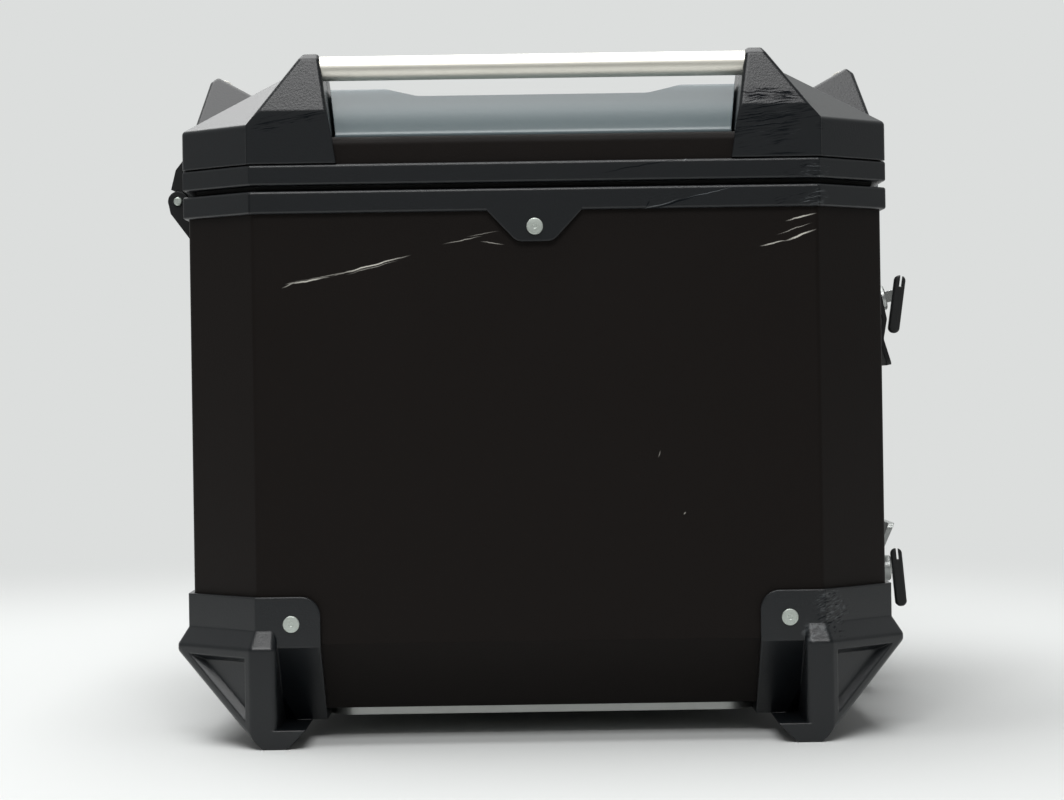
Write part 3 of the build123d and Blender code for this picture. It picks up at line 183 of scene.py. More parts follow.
@dataclass(frozen=True)
class Scrape:
    """A patch of many fine parallel scuffs on the case's left face.

    Attributes:
        centre: Its middle, X and Z, in millimetres.
        half: Its half length and half height, in millimetres.
        spacing: Typical distance between scuffs, in millimetres.
        length: Typical length of a scuff, in millimetres.
        slope: How far the scuffs rise towards +X, in degrees.
        cover: Share of the patch that they cover, from 0 to 1.
        strength: How fully a scuff hides the finish below it.
        ragged: Size of the bays in the patch's border, in millimetres.
        bays: How deep those bays are, as a share of the patch.
        inner: Where the patch starts to thin out, on the scale of its border.
        outer: Where it ends.
        bare: Noise level that only the boldest scuffs of a thin patch pass.
        filled: How far that level falls in a patch that is covered all over.
        soft: Noise levels over which a scuff's edge fades.
    """

    centre: tuple[float, float]
    half: tuple[float, float]
    spacing: float
    length: float
    slope: float
    cover: float
    strength: float
    ragged: float = 9.0
    bays: float = 1.6
    inner: float = 1.25
    outer: float = 1.85
    bare: float = 0.68
    filled: float = 0.2
    soft: float = 0.1

    def mask(self, tree: bpy.types.NodeTree, place: bpy.types.NodeSocket) -> bpy.types.NodeSocket:
        """Builds the patch's mask.

        Args:
            tree: The material's node tree.
            place: Object coordinates.

        Returns:
            A socket that is the strength on a scuff and 0 off it.
        """
        leaned = add_node(
            tree,
            "ShaderNodeMapping",
            {
                "Vector": place,
                "Location": (self.centre[0] * MM, 0.0, self.centre[1] * MM),
                "Rotation": (0.0, -math.radians(self.slope), 0.0),
            },
            vector_type="TEXTURE",
        )
        stretched = add_node(
            tree,
            "ShaderNodeMapping",
            {
                "Vector": leaned.outputs[0],
                "Scale": (per_mm(self.length), per_mm(self.length), per_mm(self.spacing)),
            },
            vector_type="POINT",
        )
        streaks = add_node(
            tree,
            "ShaderNodeTexNoise",
            {"Vector": stretched.outputs[0], "Scale": 1.0, "Detail": 3.0, "Roughness": 0.6},
        )
        unit = add_node(
            tree,
            "ShaderNodeMapping",
            {
                "Vector": leaned.outputs[0],
                "Scale": (per_mm(self.half[0]), 0.0, per_mm(self.half[1])),
            },
            vector_type="POINT",
        )
        border = add_node(
            tree,
            "ShaderNodeTexNoise",
            {"Vector": place, "Scale": per_mm(self.ragged), "Detail": 2.0},
        )
        reach = add_node(tree, "ShaderNodeVectorMath", {0: unit.outputs[0]}, operation="LENGTH")
        rim = add_node(
            tree,
            "ShaderNodeMath",
            {0: border.outputs["Fac"], 1: self.bays, 2: reach.outputs["Value"]},
            operation="MULTIPLY_ADD",
        )
        inside = add_node(
            tree,
            "ShaderNodeMapRange",
            {"Value": rim.outputs[0], "From Min": self.outer, "From Max": self.inner},
            interpolation_type="SMOOTHSTEP",
        )
        edge = self.bare - self.filled * self.cover
        lines = add_node(
            tree,
            "ShaderNodeMapRange",
            {
                "Value": streaks.outputs["Fac"],
                "From Min": edge,
                "From Max": edge + self.soft,
                "To Max": self.strength,
            },
        )
        both = add_node(
            tree, "ShaderNodeMath", {0: lines.outputs[0], 1: inside.outputs[0]}, operation="MULTIPLY"
        )
        return both.outputs[0]


Marks = tuple[Scratch | Scrape, ...]


def left_face_only(
    tree: bpy.types.NodeTree, place: bpy.types.NodeSocket, mask: bpy.types.NodeSocket
) -> bpy.types.NodeSocket:
    """Keeps a mask to the case's left side."""
    parts = add_node(tree, "ShaderNodeSeparateXYZ", {0: place})
    near = add_node(
        tree, "ShaderNodeMath", {0: parts.outputs["Y"], 1: LEFT_FACE * MM}, operation="LESS_THAN"
    )
    kept = add_node(tree, "ShaderNodeMath", {0: near.outputs[0], 1: mask}, operation="MULTIPLY")
    return kept.outputs[0]


@dataclass(frozen=True)
class Finish:
    """A plain finish, the base of all the others.

    Attributes:
        name: The material's name, after what the real one is.
        slot: The record's slot that it dresses.
        colour: Base colour as sRGB hex.
        roughness: Shader roughness.
        metallic: 1 for bare metal and 0 for the rest.
        ior: Index of refraction, kept at the default for a metal.
    """

    name: str
    slot: Slot
    colour: str
    roughness: float
    metallic: float = 0.0
    ior: float = 1.5

    def make(self) -> bpy.types.Material:
        """Makes the material.

        Returns:
            The new material with its surface wired to the output.
        """
        material = bpy.data.materials.new(self.name)
        material.use_nodes = True
        tree = material.node_tree
        tree.nodes.clear()
        place = add_node(tree, "ShaderNodeTexCoord").outputs["Object"]
        shader = add_node(
            tree,
            "ShaderNodeBsdfPrincipled",
            {
                "Base Color": to_linear(self.colour),
                "Roughness": self.roughness,
                "Metallic": self.metallic,
                "IOR": self.ior,
            },
        )
        self.texture(tree, shader, place)
        add_node(tree, "ShaderNodeOutputMaterial", {"Surface": shader.outputs[0]})
        return material

    def texture(
        self, tree: bpy.types.NodeTree, shader: bpy.types.Node, place: bpy.types.NodeSocket
    ) -> None:
        """Adds the finish's own pattern; a plain finish has none."""

    def bump(
        self,
        tree: bpy.types.NodeTree,
        shader: bpy.types.Node,
        height: bpy.types.NodeSocket,
        depth: float,
        edge: float = 0.0,
    ) -> None:
        """Sets the shader's normal from a height and softens hard edges.

        Args:
            tree: The material's node tree.
            shader: The shader that takes the normal.
            height: Height from 0 to 1.
            depth: Full height of the pattern in millimetres.
            edge: Radius in millimetres to which hard edges are eased; 0 leaves them.
        """
        inputs: dict[Any, Any] = {"Height": height, "Strength": 1.0, "Distance": depth * MM}
        if edge:
            eased = add_node(
                tree, "ShaderNodeBevel", {"Radius": edge * MM}, samples=BEVEL_SAMPLES
            )
            inputs["Normal"] = eased.outputs[0]
        made = add_node(tree, "ShaderNodeBump", inputs)
        tree.links.new(made.outputs[0], shader.inputs["Normal"])


@dataclass(frozen=True)
class PowderCoat(Finish):
    """Fine-textured powder coat baked on sheet: nearly black, with a soft sheen broken by its grit.

    Attributes:
        grit: Width of one bead of the texture in millimetres. The real beads are about 0.3 mm,
            too fine to show, so they are drawn coarser.
        depth: Its height in millimetres.
        edge: Radius that the folded edges are eased to, in millimetres.
        cloud: Size of the uneven areas of gloss, in millimetres.
        shinier: How far the roughness falls in them.
        duller: How far it rises.
        worn: Colour where the coat is scratched to a pale line.
        scrapes: The scratches.
    """

    grit: float = 1.1
    depth: float = 0.05
    edge: float = 0.8
    cloud: float = 70.0
    shinier: float = 0.06
    duller: float = 0.1
    worn: str = "#c9c6bd"
    scrapes: Marks = ()

    def texture(
        self, tree: bpy.types.NodeTree, shader: bpy.types.Node, place: bpy.types.NodeSocket
    ) -> None:
        """Adds the coat's grit, its uneven gloss and the scratches."""
        beads = add_node(
            tree, "ShaderNodeTexNoise", {"Vector": place, "Scale": per_mm(self.grit), "Detail": 1.0}
        )
        self.bump(tree, shader, beads.outputs["Fac"], self.depth, self.edge)
        clouds = add_node(
            tree, "ShaderNodeTexNoise", {"Vector": place, "Scale": per_mm(self.cloud), "Detail": 3.0}
        )
        gloss = add_node(
            tree,
            "ShaderNodeMapRange",
            {
                "Value": clouds.outputs["Fac"],
                "To Min": self.roughness - self.shinier,
                "To Max": self.roughness + self.duller,
            },
        )
        tree.links.new(gloss.outputs[0], shader.inputs["Roughness"])
        wear(tree, shader, place, self.colour, self.worn, self.scrapes)


def wear(
    tree: bpy.types.NodeTree,
    shader: bpy.types.Node,
    place: bpy.types.NodeSocket,
    colour: str,
    worn: str,
    scrapes: Marks,
) -> None:
    """Mixes a worn colour into a shader's base colour where scratches run.

    Args:
        tree: The material's node tree.
        shader: The shader whose base colour is set.
        place: Object coordinates.
        colour: The sound finish, sRGB hex.
        worn: The scratches' colour, sRGB hex.
        scrapes: The scratches and patches; with none, the shader is left as it is.
    """
    if not scrapes:
        return
    mixed = add_node(
        tree,
        "ShaderNodeMix",
        {"Factor": all_masks(tree, place, scrapes), 6: to_linear(colour), 7: to_linear(worn)},
        data_type="RGBA",
    )
    tree.links.new(mixed.outputs[2], shader.inputs["Base Color"])


def all_masks(
    tree: bpy.types.NodeTree,
    place: bpy.types.NodeSocket,
    scrapes: Marks,
    waver: float = 7.0,
    drift: float = 1.6,
) -> bpy.types.NodeSocket:
    """Joins the masks of scratches and scuffs on the left face into one.

    Args:
        tree: The material's node tree.
        place: Object coordinates.
        scrapes: The scratches and patches, at least one.
        waver: Length of their unsteady stretches, in millimetres.
        drift: How far they wander there, in millimetres.

    Returns:
        A socket with the strongest of the masks.
    """
    shake = add_node(
        tree, "ShaderNodeTexNoise", {"Vector": place, "Scale": per_mm(waver), "Detail": 3.0}
    )
    wavy = add_node(
        tree,
        "ShaderNodeVectorMath",
        {0: shake.outputs["Color"], 1: (drift * MM,) * 3, 2: place},
        operation="MULTIPLY_ADD",
    )
    total = scrapes[0].mask(tree, wavy.outputs[0])
    for scrape in scrapes[1:]:
        more = add_node(
            tree,
            "ShaderNodeMath",
            {0: total, 1: scrape.mask(tree, wavy.outputs[0])},
            operation="MAXIMUM",
        )
        total = more.outputs[0]
    return left_face_only(tree, place, total)


@dataclass(frozen=True)
class MouldedPlastic(Finish):
    """Black plastic moulded with a spark-eroded grain: satin, pale where rubbed, dull where scored.

    Attributes:
        grain: Width of one grain of the texture in millimetres. The real grain is about 0.2 mm,
            too fine to show, so it is drawn coarser.
        depth: Its height in millimetres.
        edge: Radius that the moulded edges are eased to, in millimetres.
        sheen: Specular level of the sound surface.
        rubbed: Colour of the scuffs.
        scrapes: Pale scuffs and scratches.
        scores: Rough grooves, which give back no sheen and so look dark.
    """

    grain: float = 0.9
    depth: float = 0.06
    edge: float = 1.2
    sheen: float = 0.5
    rubbed: str = "#9a9fa2"
    scrapes: Marks = ()
    scores: Marks = ()

    def texture(
        self, tree: bpy.types.NodeTree, shader: bpy.types.Node, place: bpy.types.NodeSocket
    ) -> None:
        """Adds the moulded grain, eased edges, the scuffs and the scores."""
        grain = add_node(
            tree, "ShaderNodeTexNoise", {"Vector": place, "Scale": per_mm(self.grain), "Detail": 2.0}
        )
        self.bump(tree, shader, grain.outputs["Fac"], self.depth, self.edge)
        wear(tree, shader, place, self.colour, self.rubbed, self.scrapes)
        if self.scores:
            sheen = add_node(
                tree,
                "ShaderNodeMapRange",
                {
                    "Value": all_masks(tree, place, self.scores),
                    "To Min": self.sheen,
                    "To Max": 0.0,
                },
            )
            tree.links.new(sheen.outputs[0], shader.inputs["Specular IOR Level"])


@dataclass(frozen=True)
class SatinPaint(Finish):
    """Smooth satin paint on a pressed aluminium cover: even and soft, brighter towards the light.

    Attributes:
        peel: Width of one swell of the sprayed surface, in millimetres.
        depth: Its height in millimetres.
        edge: Radius that the pressed edges are eased to, in millimetres.
    """

    peel: float = 2.5
    depth: float = 0.02
    edge: float = 0.6

    def texture(
        self, tree: bpy.types.NodeTree, shader: bpy.types.Node, place: bpy.types.NodeSocket
    ) -> None:
        """Adds a faint unevenness, as sprayed paint has."""
        swells = add_node(
            tree, "ShaderNodeTexNoise", {"Vector": place, "Scale": per_mm(self.peel), "Detail": 1.0}
        )
        self.bump(tree, shader, swells.outputs["Fac"], self.depth, self.edge)


class Grain(Enum):
    """Which way a metal's drawing or rolling lines run."""

    ALONG_X = (0.02, 1.0, 1.0)
    ALONG_Y = (1.0, 0.02, 1.0)
    NONE = (1.0, 1.0, 1.0)


@dataclass(frozen=True)
class BareMetal(Finish):
    """Bare or plated metal: brushed, drawn, rolled or cast.

    Attributes:
        grain: Which way its lines run.
        pitch: Width of a line in millimetres. The real lines are about 0.1 mm, too fine to show,
            so they are drawn coarser.
        depth: Depth of the lines in millimetres.
        edge: Radius that its edges are eased to, in millimetres.
        uneven: How far the roughness swings either way along the lines.
    """

    metallic: float = 1.0
    grain: Grain = Grain.NONE
    pitch: float = 0.7
    depth: float = 0.01
    edge: float = 0.3
    uneven: float = 0.08

    def texture(
        self, tree: bpy.types.NodeTree, shader: bpy.types.Node, place: bpy.types.NodeSocket
    ) -> None:
        """Adds fine lines, or the spots of a cast or tumbled surface."""
        drawn = add_node(
            tree,
            "ShaderNodeMapping",
            {"Vector": place, "Scale": self.grain.value},
            vector_type="POINT",
        )
        lines = add_node(
            tree,
            "ShaderNodeTexNoise",
            {"Vector": drawn.outputs[0], "Scale": per_mm(self.pitch), "Detail": 2.0},
        )
        self.bump(tree, shader, lines.outputs["Fac"], self.depth, self.edge)
        gloss = add_node(
            tree,
            "ShaderNodeMapRange",
            {
                "Value": lines.outputs["Fac"],
                "To Min": self.roughness - self.uneven,
                "To Max": self.roughness + self.uneven,
            },
        )
        tree.links.new(gloss.outputs[0], shader.inputs["Roughness"])


# Marks lie on the left face. A scratch gives its two ends, width and strength, and a scrape its
# middle, half size, spacing, length, slope, cover and strength.
SHELL_SCRAPES = (
    Scratch((-123.8, 213.8), (-102.1, 217.4), 0.9, 0.85),
    Scratch((-125.2, 212.0), (-117.0, 215.6), 0.7, 0.5),
    Scratch((-102.6, 217.3), (-64.6, 227.0), 0.8, 1.0),
    Scratch((-121.5, 214.9), (-80.0, 221.6), 0.5, 0.35),
    Scratch((-96.0, 217.9), (-70.0, 224.6), 0.5, 0.4),
    Scratch((-51.0, 231.4), (-32.0, 235.0), 0.6, 0.45),
    Scratch((-33.5, 232.4), (-22.0, 230.8), 0.5, 0.5),
    Scratch((-40.0, 234.6), (-24.5, 237.2), 0.5, 0.3),
    Scratch((95.0, 228.2), (108.2, 231.0), 0.8, 0.8),
    Scratch((106.0, 230.4), (121.6, 236.0), 1.0, 1.0),
    Scratch((107.0, 239.8), (122.0, 243.4), 0.9, 0.9),
    Scratch((103.0, 233.4), (120.0, 239.2), 0.5, 0.5),
    Scratch((47.2, 131.6), (48.2, 135.2), 0.6, 0.35),
    Scratch((58.4, 105.4), (59.2, 106.6), 0.7, 0.6),
)
PLASTIC_SCRAPES = (
    Scrape((104.0, 284.0), (20.0, 12.0), 0.5, 16.0, 9.0, 0.3, 0.12),
    Scrape((121.0, 262.0), (8.0, 4.5), 0.45, 6.0, 6.0, 0.6, 0.22),
    Scrape((121.0, 250.0), (8.0, 4.5), 0.45, 6.0, 12.0, 0.7, 0.26),
    Scrape((124.5, 63.0), (9.0, 12.0), 0.7, 3.0, 24.0, 0.75, 0.16),
    Scrape((117.0, 52.0), (7.0, 7.0), 3.0, 5.0, 24.0, 1.0, 0.16),
    Scratch((38.0, 244.8), (60.0, 251.0), 0.5, 0.3),
    Scratch((60.0, 250.4), (84.0, 256.0), 0.5, 0.3),
    Scratch((60.0, 267.6), (63.6, 270.2), 0.7, 0.5),
)
PLASTIC_SCORES = (
    Scrape((101.0, 287.0), (25.0, 12.5), 0.6, 16.0, 8.0, 0.85, 1.0),
    Scrape((104.0, 298.5), (20.0, 3.2), 0.9, 10.0, -3.0, 1.0, 1.0),
    Scrape((-122.0, 289.6), (21.0, 3.8), 0.6, 12.0, 9.0, 0.9, 1.0),
    Scrape((114.0, 262.0), (16.0, 5.0), 0.5, 9.0, 8.0, 0.6, 0.9),
    Scrape((114.0, 250.0), (16.0, 4.5), 0.5, 8.0, 14.0, 0.6, 0.9),
    Scrape((124.5, 60.0), (9.0, 15.0), 0.8, 4.0, 24.0, 0.7, 0.9),
    Scratch((33.0, 242.8), (88.0, 257.6), 1.0, 1.0),
    Scratch((43.0, 246.2), (45.0, 250.4), 0.8, 0.9),
    Scratch((20.0, 262.6), (62.0, 269.6), 0.8, 0.8),
    Scratch((96.0, 270.4), (118.0, 271.2), 1.2, 0.8),
)

FINISHES: tuple[Finish, ...] = (
    # The textured coat scatters its sheen, so it is given a lower index than smooth paint has.
    PowderCoat(
        "Powder-coated aluminium sheet",
        Slot.SHELL,
        "#14100e",
        0.5,
        ior=1.22,
        scrapes=SHELL_SCRAPES,
    ),
    PowderCoat("Black-painted steel", Slot.STEEL, "#141516", 0.42, ior=1.4, grit=0.8),
    MouldedPlastic(
        "Moulded nylon",
        Slot.MOULDED,
        "#111417",
        0.32,
        scrapes=PLASTIC_SCRAPES,
        scores=PLASTIC_SCORES,
    ),
    # The cover's colour is partly the paint's own grey and partly a painted reflection: it is lighter
    # and bluer than the paint, standing in for the bright sheen that the sloped cover takes from above.
    SatinPaint("Satin paint on aluminium", Slot.COVER, "#5a686c", 0.34, ior=1.6),
    Finish("EPDM rubber seal", Slot.SEAL, "#141414", 0.8),
    BareMetal(
        "Satin extruded aluminium",
        Slot.RAIL,
        "#efece2",
        0.46,
        grain=Grain.ALONG_X,
        depth=0.004,
    ),
    BareMetal("Mill-finish aluminium plate", Slot.PLATE, "#b9bbb8", 0.4, grain=Grain.ALONG_Y),
    BareMetal("Plain aluminium rivet", Slot.RIVET, "#c8cfc8", 0.5),
    BareMetal("Zinc-plated steel", Slot.ZINC, "#a9adae", 0.35),
    BareMetal("Tumbled cast aluminium", Slot.LEVER, "#b4b7b5", 0.38, pitch=1.0),
    BareMetal("Chromed zinc casting", Slot.LOCK, "#c9cccf", 0.16, pitch=2.0, depth=0.002),
    MouldedPlastic("Moulded ABS", Slot.HOUSING, "#141516", 0.45),
    BareMetal("Nickel-plated steel", Slot.KEY, "#b6b8b6", 0.25),
)


class Wardrobe:
    """Every finish made once, found by its slot."""

    def __init__(self, finishes: tuple[Finish, ...]) -> None:
        """Makes the material of each finish."""
        self.materials = {finish.slot.value: finish.make() for finish in finishes}

    def wear(self, piece: bpy.types.Object, slot: Slot | str) -> None:
        """Gives a piece the one material of a slot."""
        name = slot.value if isinstance(slot, Slot) else slot
        piece.data.materials.clear()
        piece.data.materials.append(self.materials[name])


def lathe(shape: bmesh.types.BMesh, outline: list[tuple[float, float]], steps: int) -> None:
    """Turns an outline once about Z.

    Args:
        shape: The mesh that it is added to.
        outline: Radius and height of each point, in millimetres, from the axis back to the axis.
        steps: How many sides the turned form has.
    """
    verts = [shape.verts.new((radius * MM, 0.0, height * MM)) for radius, height in outline]
    edges = [shape.edges.new(pair) for pair in zip(verts, verts[1:])]
    bmesh.ops.spin(
        shape,
        geom=verts + edges,
        cent=(0.0, 0.0, 0.0),
        axis=(0.0, 0.0, 1.0),
        angle=math.tau,
        steps=steps,
    )
    bmesh.ops.remove_doubles(shape, verts=shape.verts, dist=TURN_SEAM)


def crease(shape: bmesh.types.BMesh, limit: float = 35.0) -> None:
    """Turns normals outward and shades smooth, apart from edges sharper than a limit in degrees."""
    bmesh.ops.recalc_face_normals(shape, faces=shape.faces)
    for face in shape.faces:
        face.smooth = True
    for edge in shape.edges:
        edge.smooth = edge.calc_face_angle(0.0) < math.radians(limit)


@dataclass(frozen=True)
class Seat:
    """Where one fastener of a CAD node sits.

    Attributes:
        tip: The middle of its head's outer face, in metres.
        outward: The way its head faces.
        length: Its whole length in millimetres.
    """

    tip: Vector
    outward: Vector
    length: float

    @classmethod
    def of_island(cls, spots: list[Vector], tip_band: float = 0.6) -> "Seat":
        """Reads a seat from one fastener's points.

        Args:
            spots: Its vertices. It is turned, so two sides of its box are alike and the third
                is its axis, and its head is at the end that reaches further out.
            tip_band: Length at each end over which that reach is taken, in millimetres.

        Returns:
            The seat.
        """
        low = Vector([min(spot[axis] for spot in spots) for axis in range(3)])
        high = Vector([max(spot[axis] for spot in spots) for axis in range(3)])
        size = high - low
        middle = (high + low) / 2
        axis = min(range(3), key=lambda way: abs(size[(way + 1) % 3] - size[(way + 2) % 3]))

        def spread(end: float) -> float:
            """Furthest that any point near one end reaches from the axis."""
            flat = [(spot - middle) for spot in spots if abs(spot[axis] - end) < tip_band * MM]
            for spot in flat:
                spot[axis] = 0.0
            return max(spot.length for spot in flat)

        sign = 1.0 if spread(high[axis]) > spread(low[axis]) else -1.0
        outward = Vector((0.0, 0.0, 0.0))
        outward[axis] = sign
        return cls(middle + outward * size[axis] / 2, outward, size[axis] / MM)

    def place(self) -> Matrix:
        """Matrix that carries a form made on +Z, with its head's face at the origin."""
        turn = Vector((0.0, 0.0, 1.0)).rotation_difference(self.outward).to_matrix().to_4x4()
        return Matrix.Translation(self.tip) @ turn


def seats(node: str) -> list[Seat]:
    """Finds every fastener of a CAD node.

    Args:
        node: The node, whose mesh is only read.

    Returns:
        One seat for each separate solid.
    """
    shape = bmesh.new()
    shape.from_mesh(frame["nodes"][node].data)
    bmesh.ops.remove_doubles(shape, verts=shape.verts, dist=SAME_POINT)
    left = set(shape.verts)
    found = []
    while left:
        front = [next(vert for vert in shape.verts if vert in left)]
        island = set(front)
        while front:
            vert = front.pop()
            for edge in vert.link_edges:
                other = edge.other_vert(vert)
                if other not in island:
                    island.add(other)
                    front.append(other)
        left -= island
        found.append(Seat.of_island([vert.co.copy() for vert in island]))
    shape.free()
    return found


@dataclass(frozen=True)
class Fastener:
    """A turned fastener, drawn round in place of the CAD node's flat-sided one.

    Attributes:
        head: Radius of its head in millimetres.
        height: Height of the head.
        shank: Radius of its shank.
        edge: Rounding of the head's rim.
        steps: Sides of the turned form.
        rim_steps: Straight runs that draw the quarter round of the rim.
    """

    head: float = 3.85
    height: float = 1.1
    shank: float = 2.0
    edge: float = 0.4
    steps: int = 48
    rim_steps: int = 4

    def rim(self) -> list[tuple[float, float]]:
        """The head's outline from its flat face round to the shank."""
        points = []
        for step in range(self.rim_steps + 1):
            turn = math.radians(90 / self.rim_steps * step)
            points.append(
                (
                    self.head - self.edge * (1 - math.sin(turn)),
                    -self.edge * (1 - math.cos(turn)),
                )
            )
        return points + [(self.head, -self.height), (self.shank, -self.height)]

    def outline(self, length: float) -> list[tuple[float, float]]:
        """Whole outline for a fastener of this length, which each kind draws for itself."""
        raise NotImplementedError

    def build(self, length: float) -> bmesh.types.BMesh:
        """Builds the fastener with its head's face at the origin, looking along +Z."""
        shape = bmesh.new()
        lathe(shape, self.outline(length), self.steps)
        return shape


@dataclass(frozen=True)
class BlindRivet(Fastener):
    """A blind rivet: flat round head outside, pulled bulge and broken stem inside.

    Attributes:
        tail: Radius of the bulge in millimetres.
        bulge: Height of the bulge.
        stem: Radius of the stem's pit in the head.
        pit: Its depth.
        pit_slope: How much narrower the pit's floor is than its mouth.
        bulge_round: How much narrower the bulge is next to the shank and at its end.
        bulge_waist: Share of its height at which it is widest.
        end_radius: Radius of the bulge's flat end.
        end_slope: Height of the slope round that flat end.
    """

    tail: float = 3.2
    bulge: float = 1.0
    stem: float = 1.05
    pit: float = 0.15
    pit_slope: float = 0.1
    bulge_round: tuple[float, float] = (0.2, 0.5)
    bulge_waist: float = 0.7
    end_radius: float = 2.0
    end_slope: float = 0.1

    def outline(self, length: float) -> list[tuple[float, float]]:
        """Whole outline, from the stem's pit round to the bulge."""
        end = -length
        top_round, end_round = self.bulge_round
        return [
            (0.0, -self.pit),
            (self.stem - self.pit_slope, -self.pit),
            (self.stem, 0.0),
            *self.rim(),
            (self.shank, end + self.bulge),
            (self.tail - top_round, end + self.bulge),
            (self.tail, end + self.bulge * self.bulge_waist),
            (self.tail - end_round, end + self.end_slope),
            (self.end_radius, end),
            (0.0, end),
        ]


@dataclass(frozen=True)
class SocketScrew(Fastener):
    """A button-headed screw with a hexagon socket.

    Attributes:
        socket: Half width across the socket's flats in millimetres.
        deep: Depth of the socket.
        chamfer: Chamfer at the shank's tip.
    """

    socket: float = 1.25
    deep: float = 1.1
    chamfer: float = 0.4

    def outline(self, length: float) -> list[tuple[float, float]]:
        """Whole outline, from the socket's floor round to the tip."""
        return [
            (0.0, -self.deep),
            (self.socket, -self.deep),
            (self.socket, 0.0),
            *self.rim(),
            (self.shank, self.chamfer - length),
            (self.shank - self.chamfer, -length),
            (0.0, -length),
        ]

    def build(self, length: float) -> bmesh.types.BMesh:
        """Builds the screw, with its round pit drawn out to a hexagon."""
        shape = super().build(length)
        sixth = math.radians(60)
        for vert in shape.verts:
            if abs(math.hypot(vert.co.x, vert.co.y) - self.socket * MM) < TURN_SEAM:
                angle = math.atan2(vert.co.y, vert.co.x)
                stretch = 1 / math.cos((angle + sixth / 2) % sixth - sixth / 2)
                vert.co.x *= stretch
                vert.co.y *= stretch
        return shape


@dataclass(frozen=True)
class SubAssembly:
    """One sub-assembly of the case: the CAD nodes it dresses and the pieces it adds.

    Attributes:
        wardrobe: Where its finishes come from.
        nodes: Its CAD nodes.
    """

    wardrobe: Wardrobe
    nodes: tuple[str, ...] = ()

    def make(self) -> None:
        """Dresses the nodes, then builds what is added to them."""
        slots = {part["node"]: part["material_slot"] for part in frame["record"]["subparts"]}
        for node in self.nodes:
            self.wardrobe.wear(frame["nodes"][node], slots[node])
            LOG.info("dressed %s as %s", node, slots[node])
        self.build()

    def build(self) -> None:
        """Builds the sub-assembly's own pieces; a plain one has none."""

    def add(self, name: str, shape: bmesh.types.BMesh, body: str, slot: Slot) -> bpy.types.Object:
        """Makes a finished piece from a mesh in the frame's own coordinates.

        Args:
            name: The piece's name.
            shape: Its mesh, which is used up.
            body: The body that it rides on.
            slot: The slot that it takes its finish from.

        Returns:
            The new piece.
        """
        crease(shape)
        mesh = bpy.data.meshes.new(name)
        shape.to_mesh(mesh)
        shape.free()
        piece = bpy.data.objects.new(name, mesh)
        bpy.context.scene.collection.objects.link(piece)
        self.wardrobe.wear(piece, slot)
        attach(piece, body)
        LOG.info("built %s, %d faces, on %s", name, len(mesh.polygons), body)
        return piece

    def fasten(self, node: str, kind: Fastener, body: str, slot: Slot) -> None:
        """Draws every fastener of a CAD node round, as one piece in the node's place.

        Args:
            node: The CAD node that the piece replaces.
            kind: The fastener.
            body: The body that they ride on.
            slot: Their slot.
        """
        whole = bmesh.new()
        for seat in seats(node):
            one = kind.build(seat.length)
            bmesh.ops.transform(one, matrix=seat.place(), verts=one.verts)
            step = bpy.data.meshes.new("step")
            one.to_mesh(step)
            one.free()
            whole.from_mesh(step)
            bpy.data.meshes.remove(step)
        piece = self.add(node + "_round", whole, body, slot)
        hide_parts(node)


@dataclass(frozen=True)
class FoldedBody(SubAssembly):
    """The folded body with its rim and the rim's rivets."""

    nodes: tuple[str, ...] = ("body_shell", "body_rim", "body_rim_corners")
    rivet: BlindRivet = BlindRivet()

    def build(self) -> None:
        """Builds the rim's two rivets."""
        self.fasten("rim_rivets", self.rivet, "case", Slot.RIVET)


@dataclass(frozen=True)
class CornerProtectors(SubAssembly):
    """The four moulded corners under the body."""

    nodes: tuple[str, ...] = (
        "protector_front_left",
        "protector_front_right",
        "protector_rear_left",
        "protector_rear_right",
    )
    rivet: BlindRivet = BlindRivet()

    def build(self) -> None:
        """Builds the eight rivets that hold them."""
        self.fasten("protector_rivets", self.rivet, "case", Slot.RIVET)


@dataclass(frozen=True)
class RackMount(SubAssembly):
    """The bare plate under the floor and its hooks."""

    nodes: tuple[str, ...] = ("base_plate", "rack_hooks")
    rivet: BlindRivet = BlindRivet()

    def build(self) -> None:
        """Builds the plate's rivets."""
        self.fasten("base_plate_rivets", self.rivet, "case", Slot.RIVET)


@dataclass(frozen=True)
class Hinge(SubAssembly):
    """Both leaves, the pin and the screws that hold the leaves."""

    nodes: tuple[str, ...] = ("hinge_body_bracket", "hinge_pin", "hinge_lid_bracket")
    screw: SocketScrew = SocketScrew(head=3.2, height=2.0, shank=1.7, edge=1.0)

    def build(self) -> None:
        """Builds the screws of each leaf."""
        self.fasten("hinge_body_screws", self.screw, "case", Slot.ZINC)
        self.fasten("hinge_lid_screws", self.screw, "lid", Slot.ZINC)


@dataclass(frozen=True)
class Lid(SubAssembly):
    """Lid sheet, rim, seal, raised cover, corner caps and rails."""

    nodes: tuple[str, ...] = (
        "lid_pan",
        "lid_rim",
        "lid_seal",
        "lid_cover",
        "cap_front_left",
        "cap_front_right",
        "cap_rear_left",
        "cap_rear_right",
        "rail_left",
        "rail_right",
        "rail_front",
        "rail_rear",
    )
    screw: SocketScrew = SocketScrew(head=3.8, height=2.0, shank=1.9, edge=1.0, socket=1.5)

    def build(self) -> None:
        """Builds the screws that hold the caps from inside the lid."""
        self.fasten("cap_screws", self.screw, "lid", Slot.ZINC)


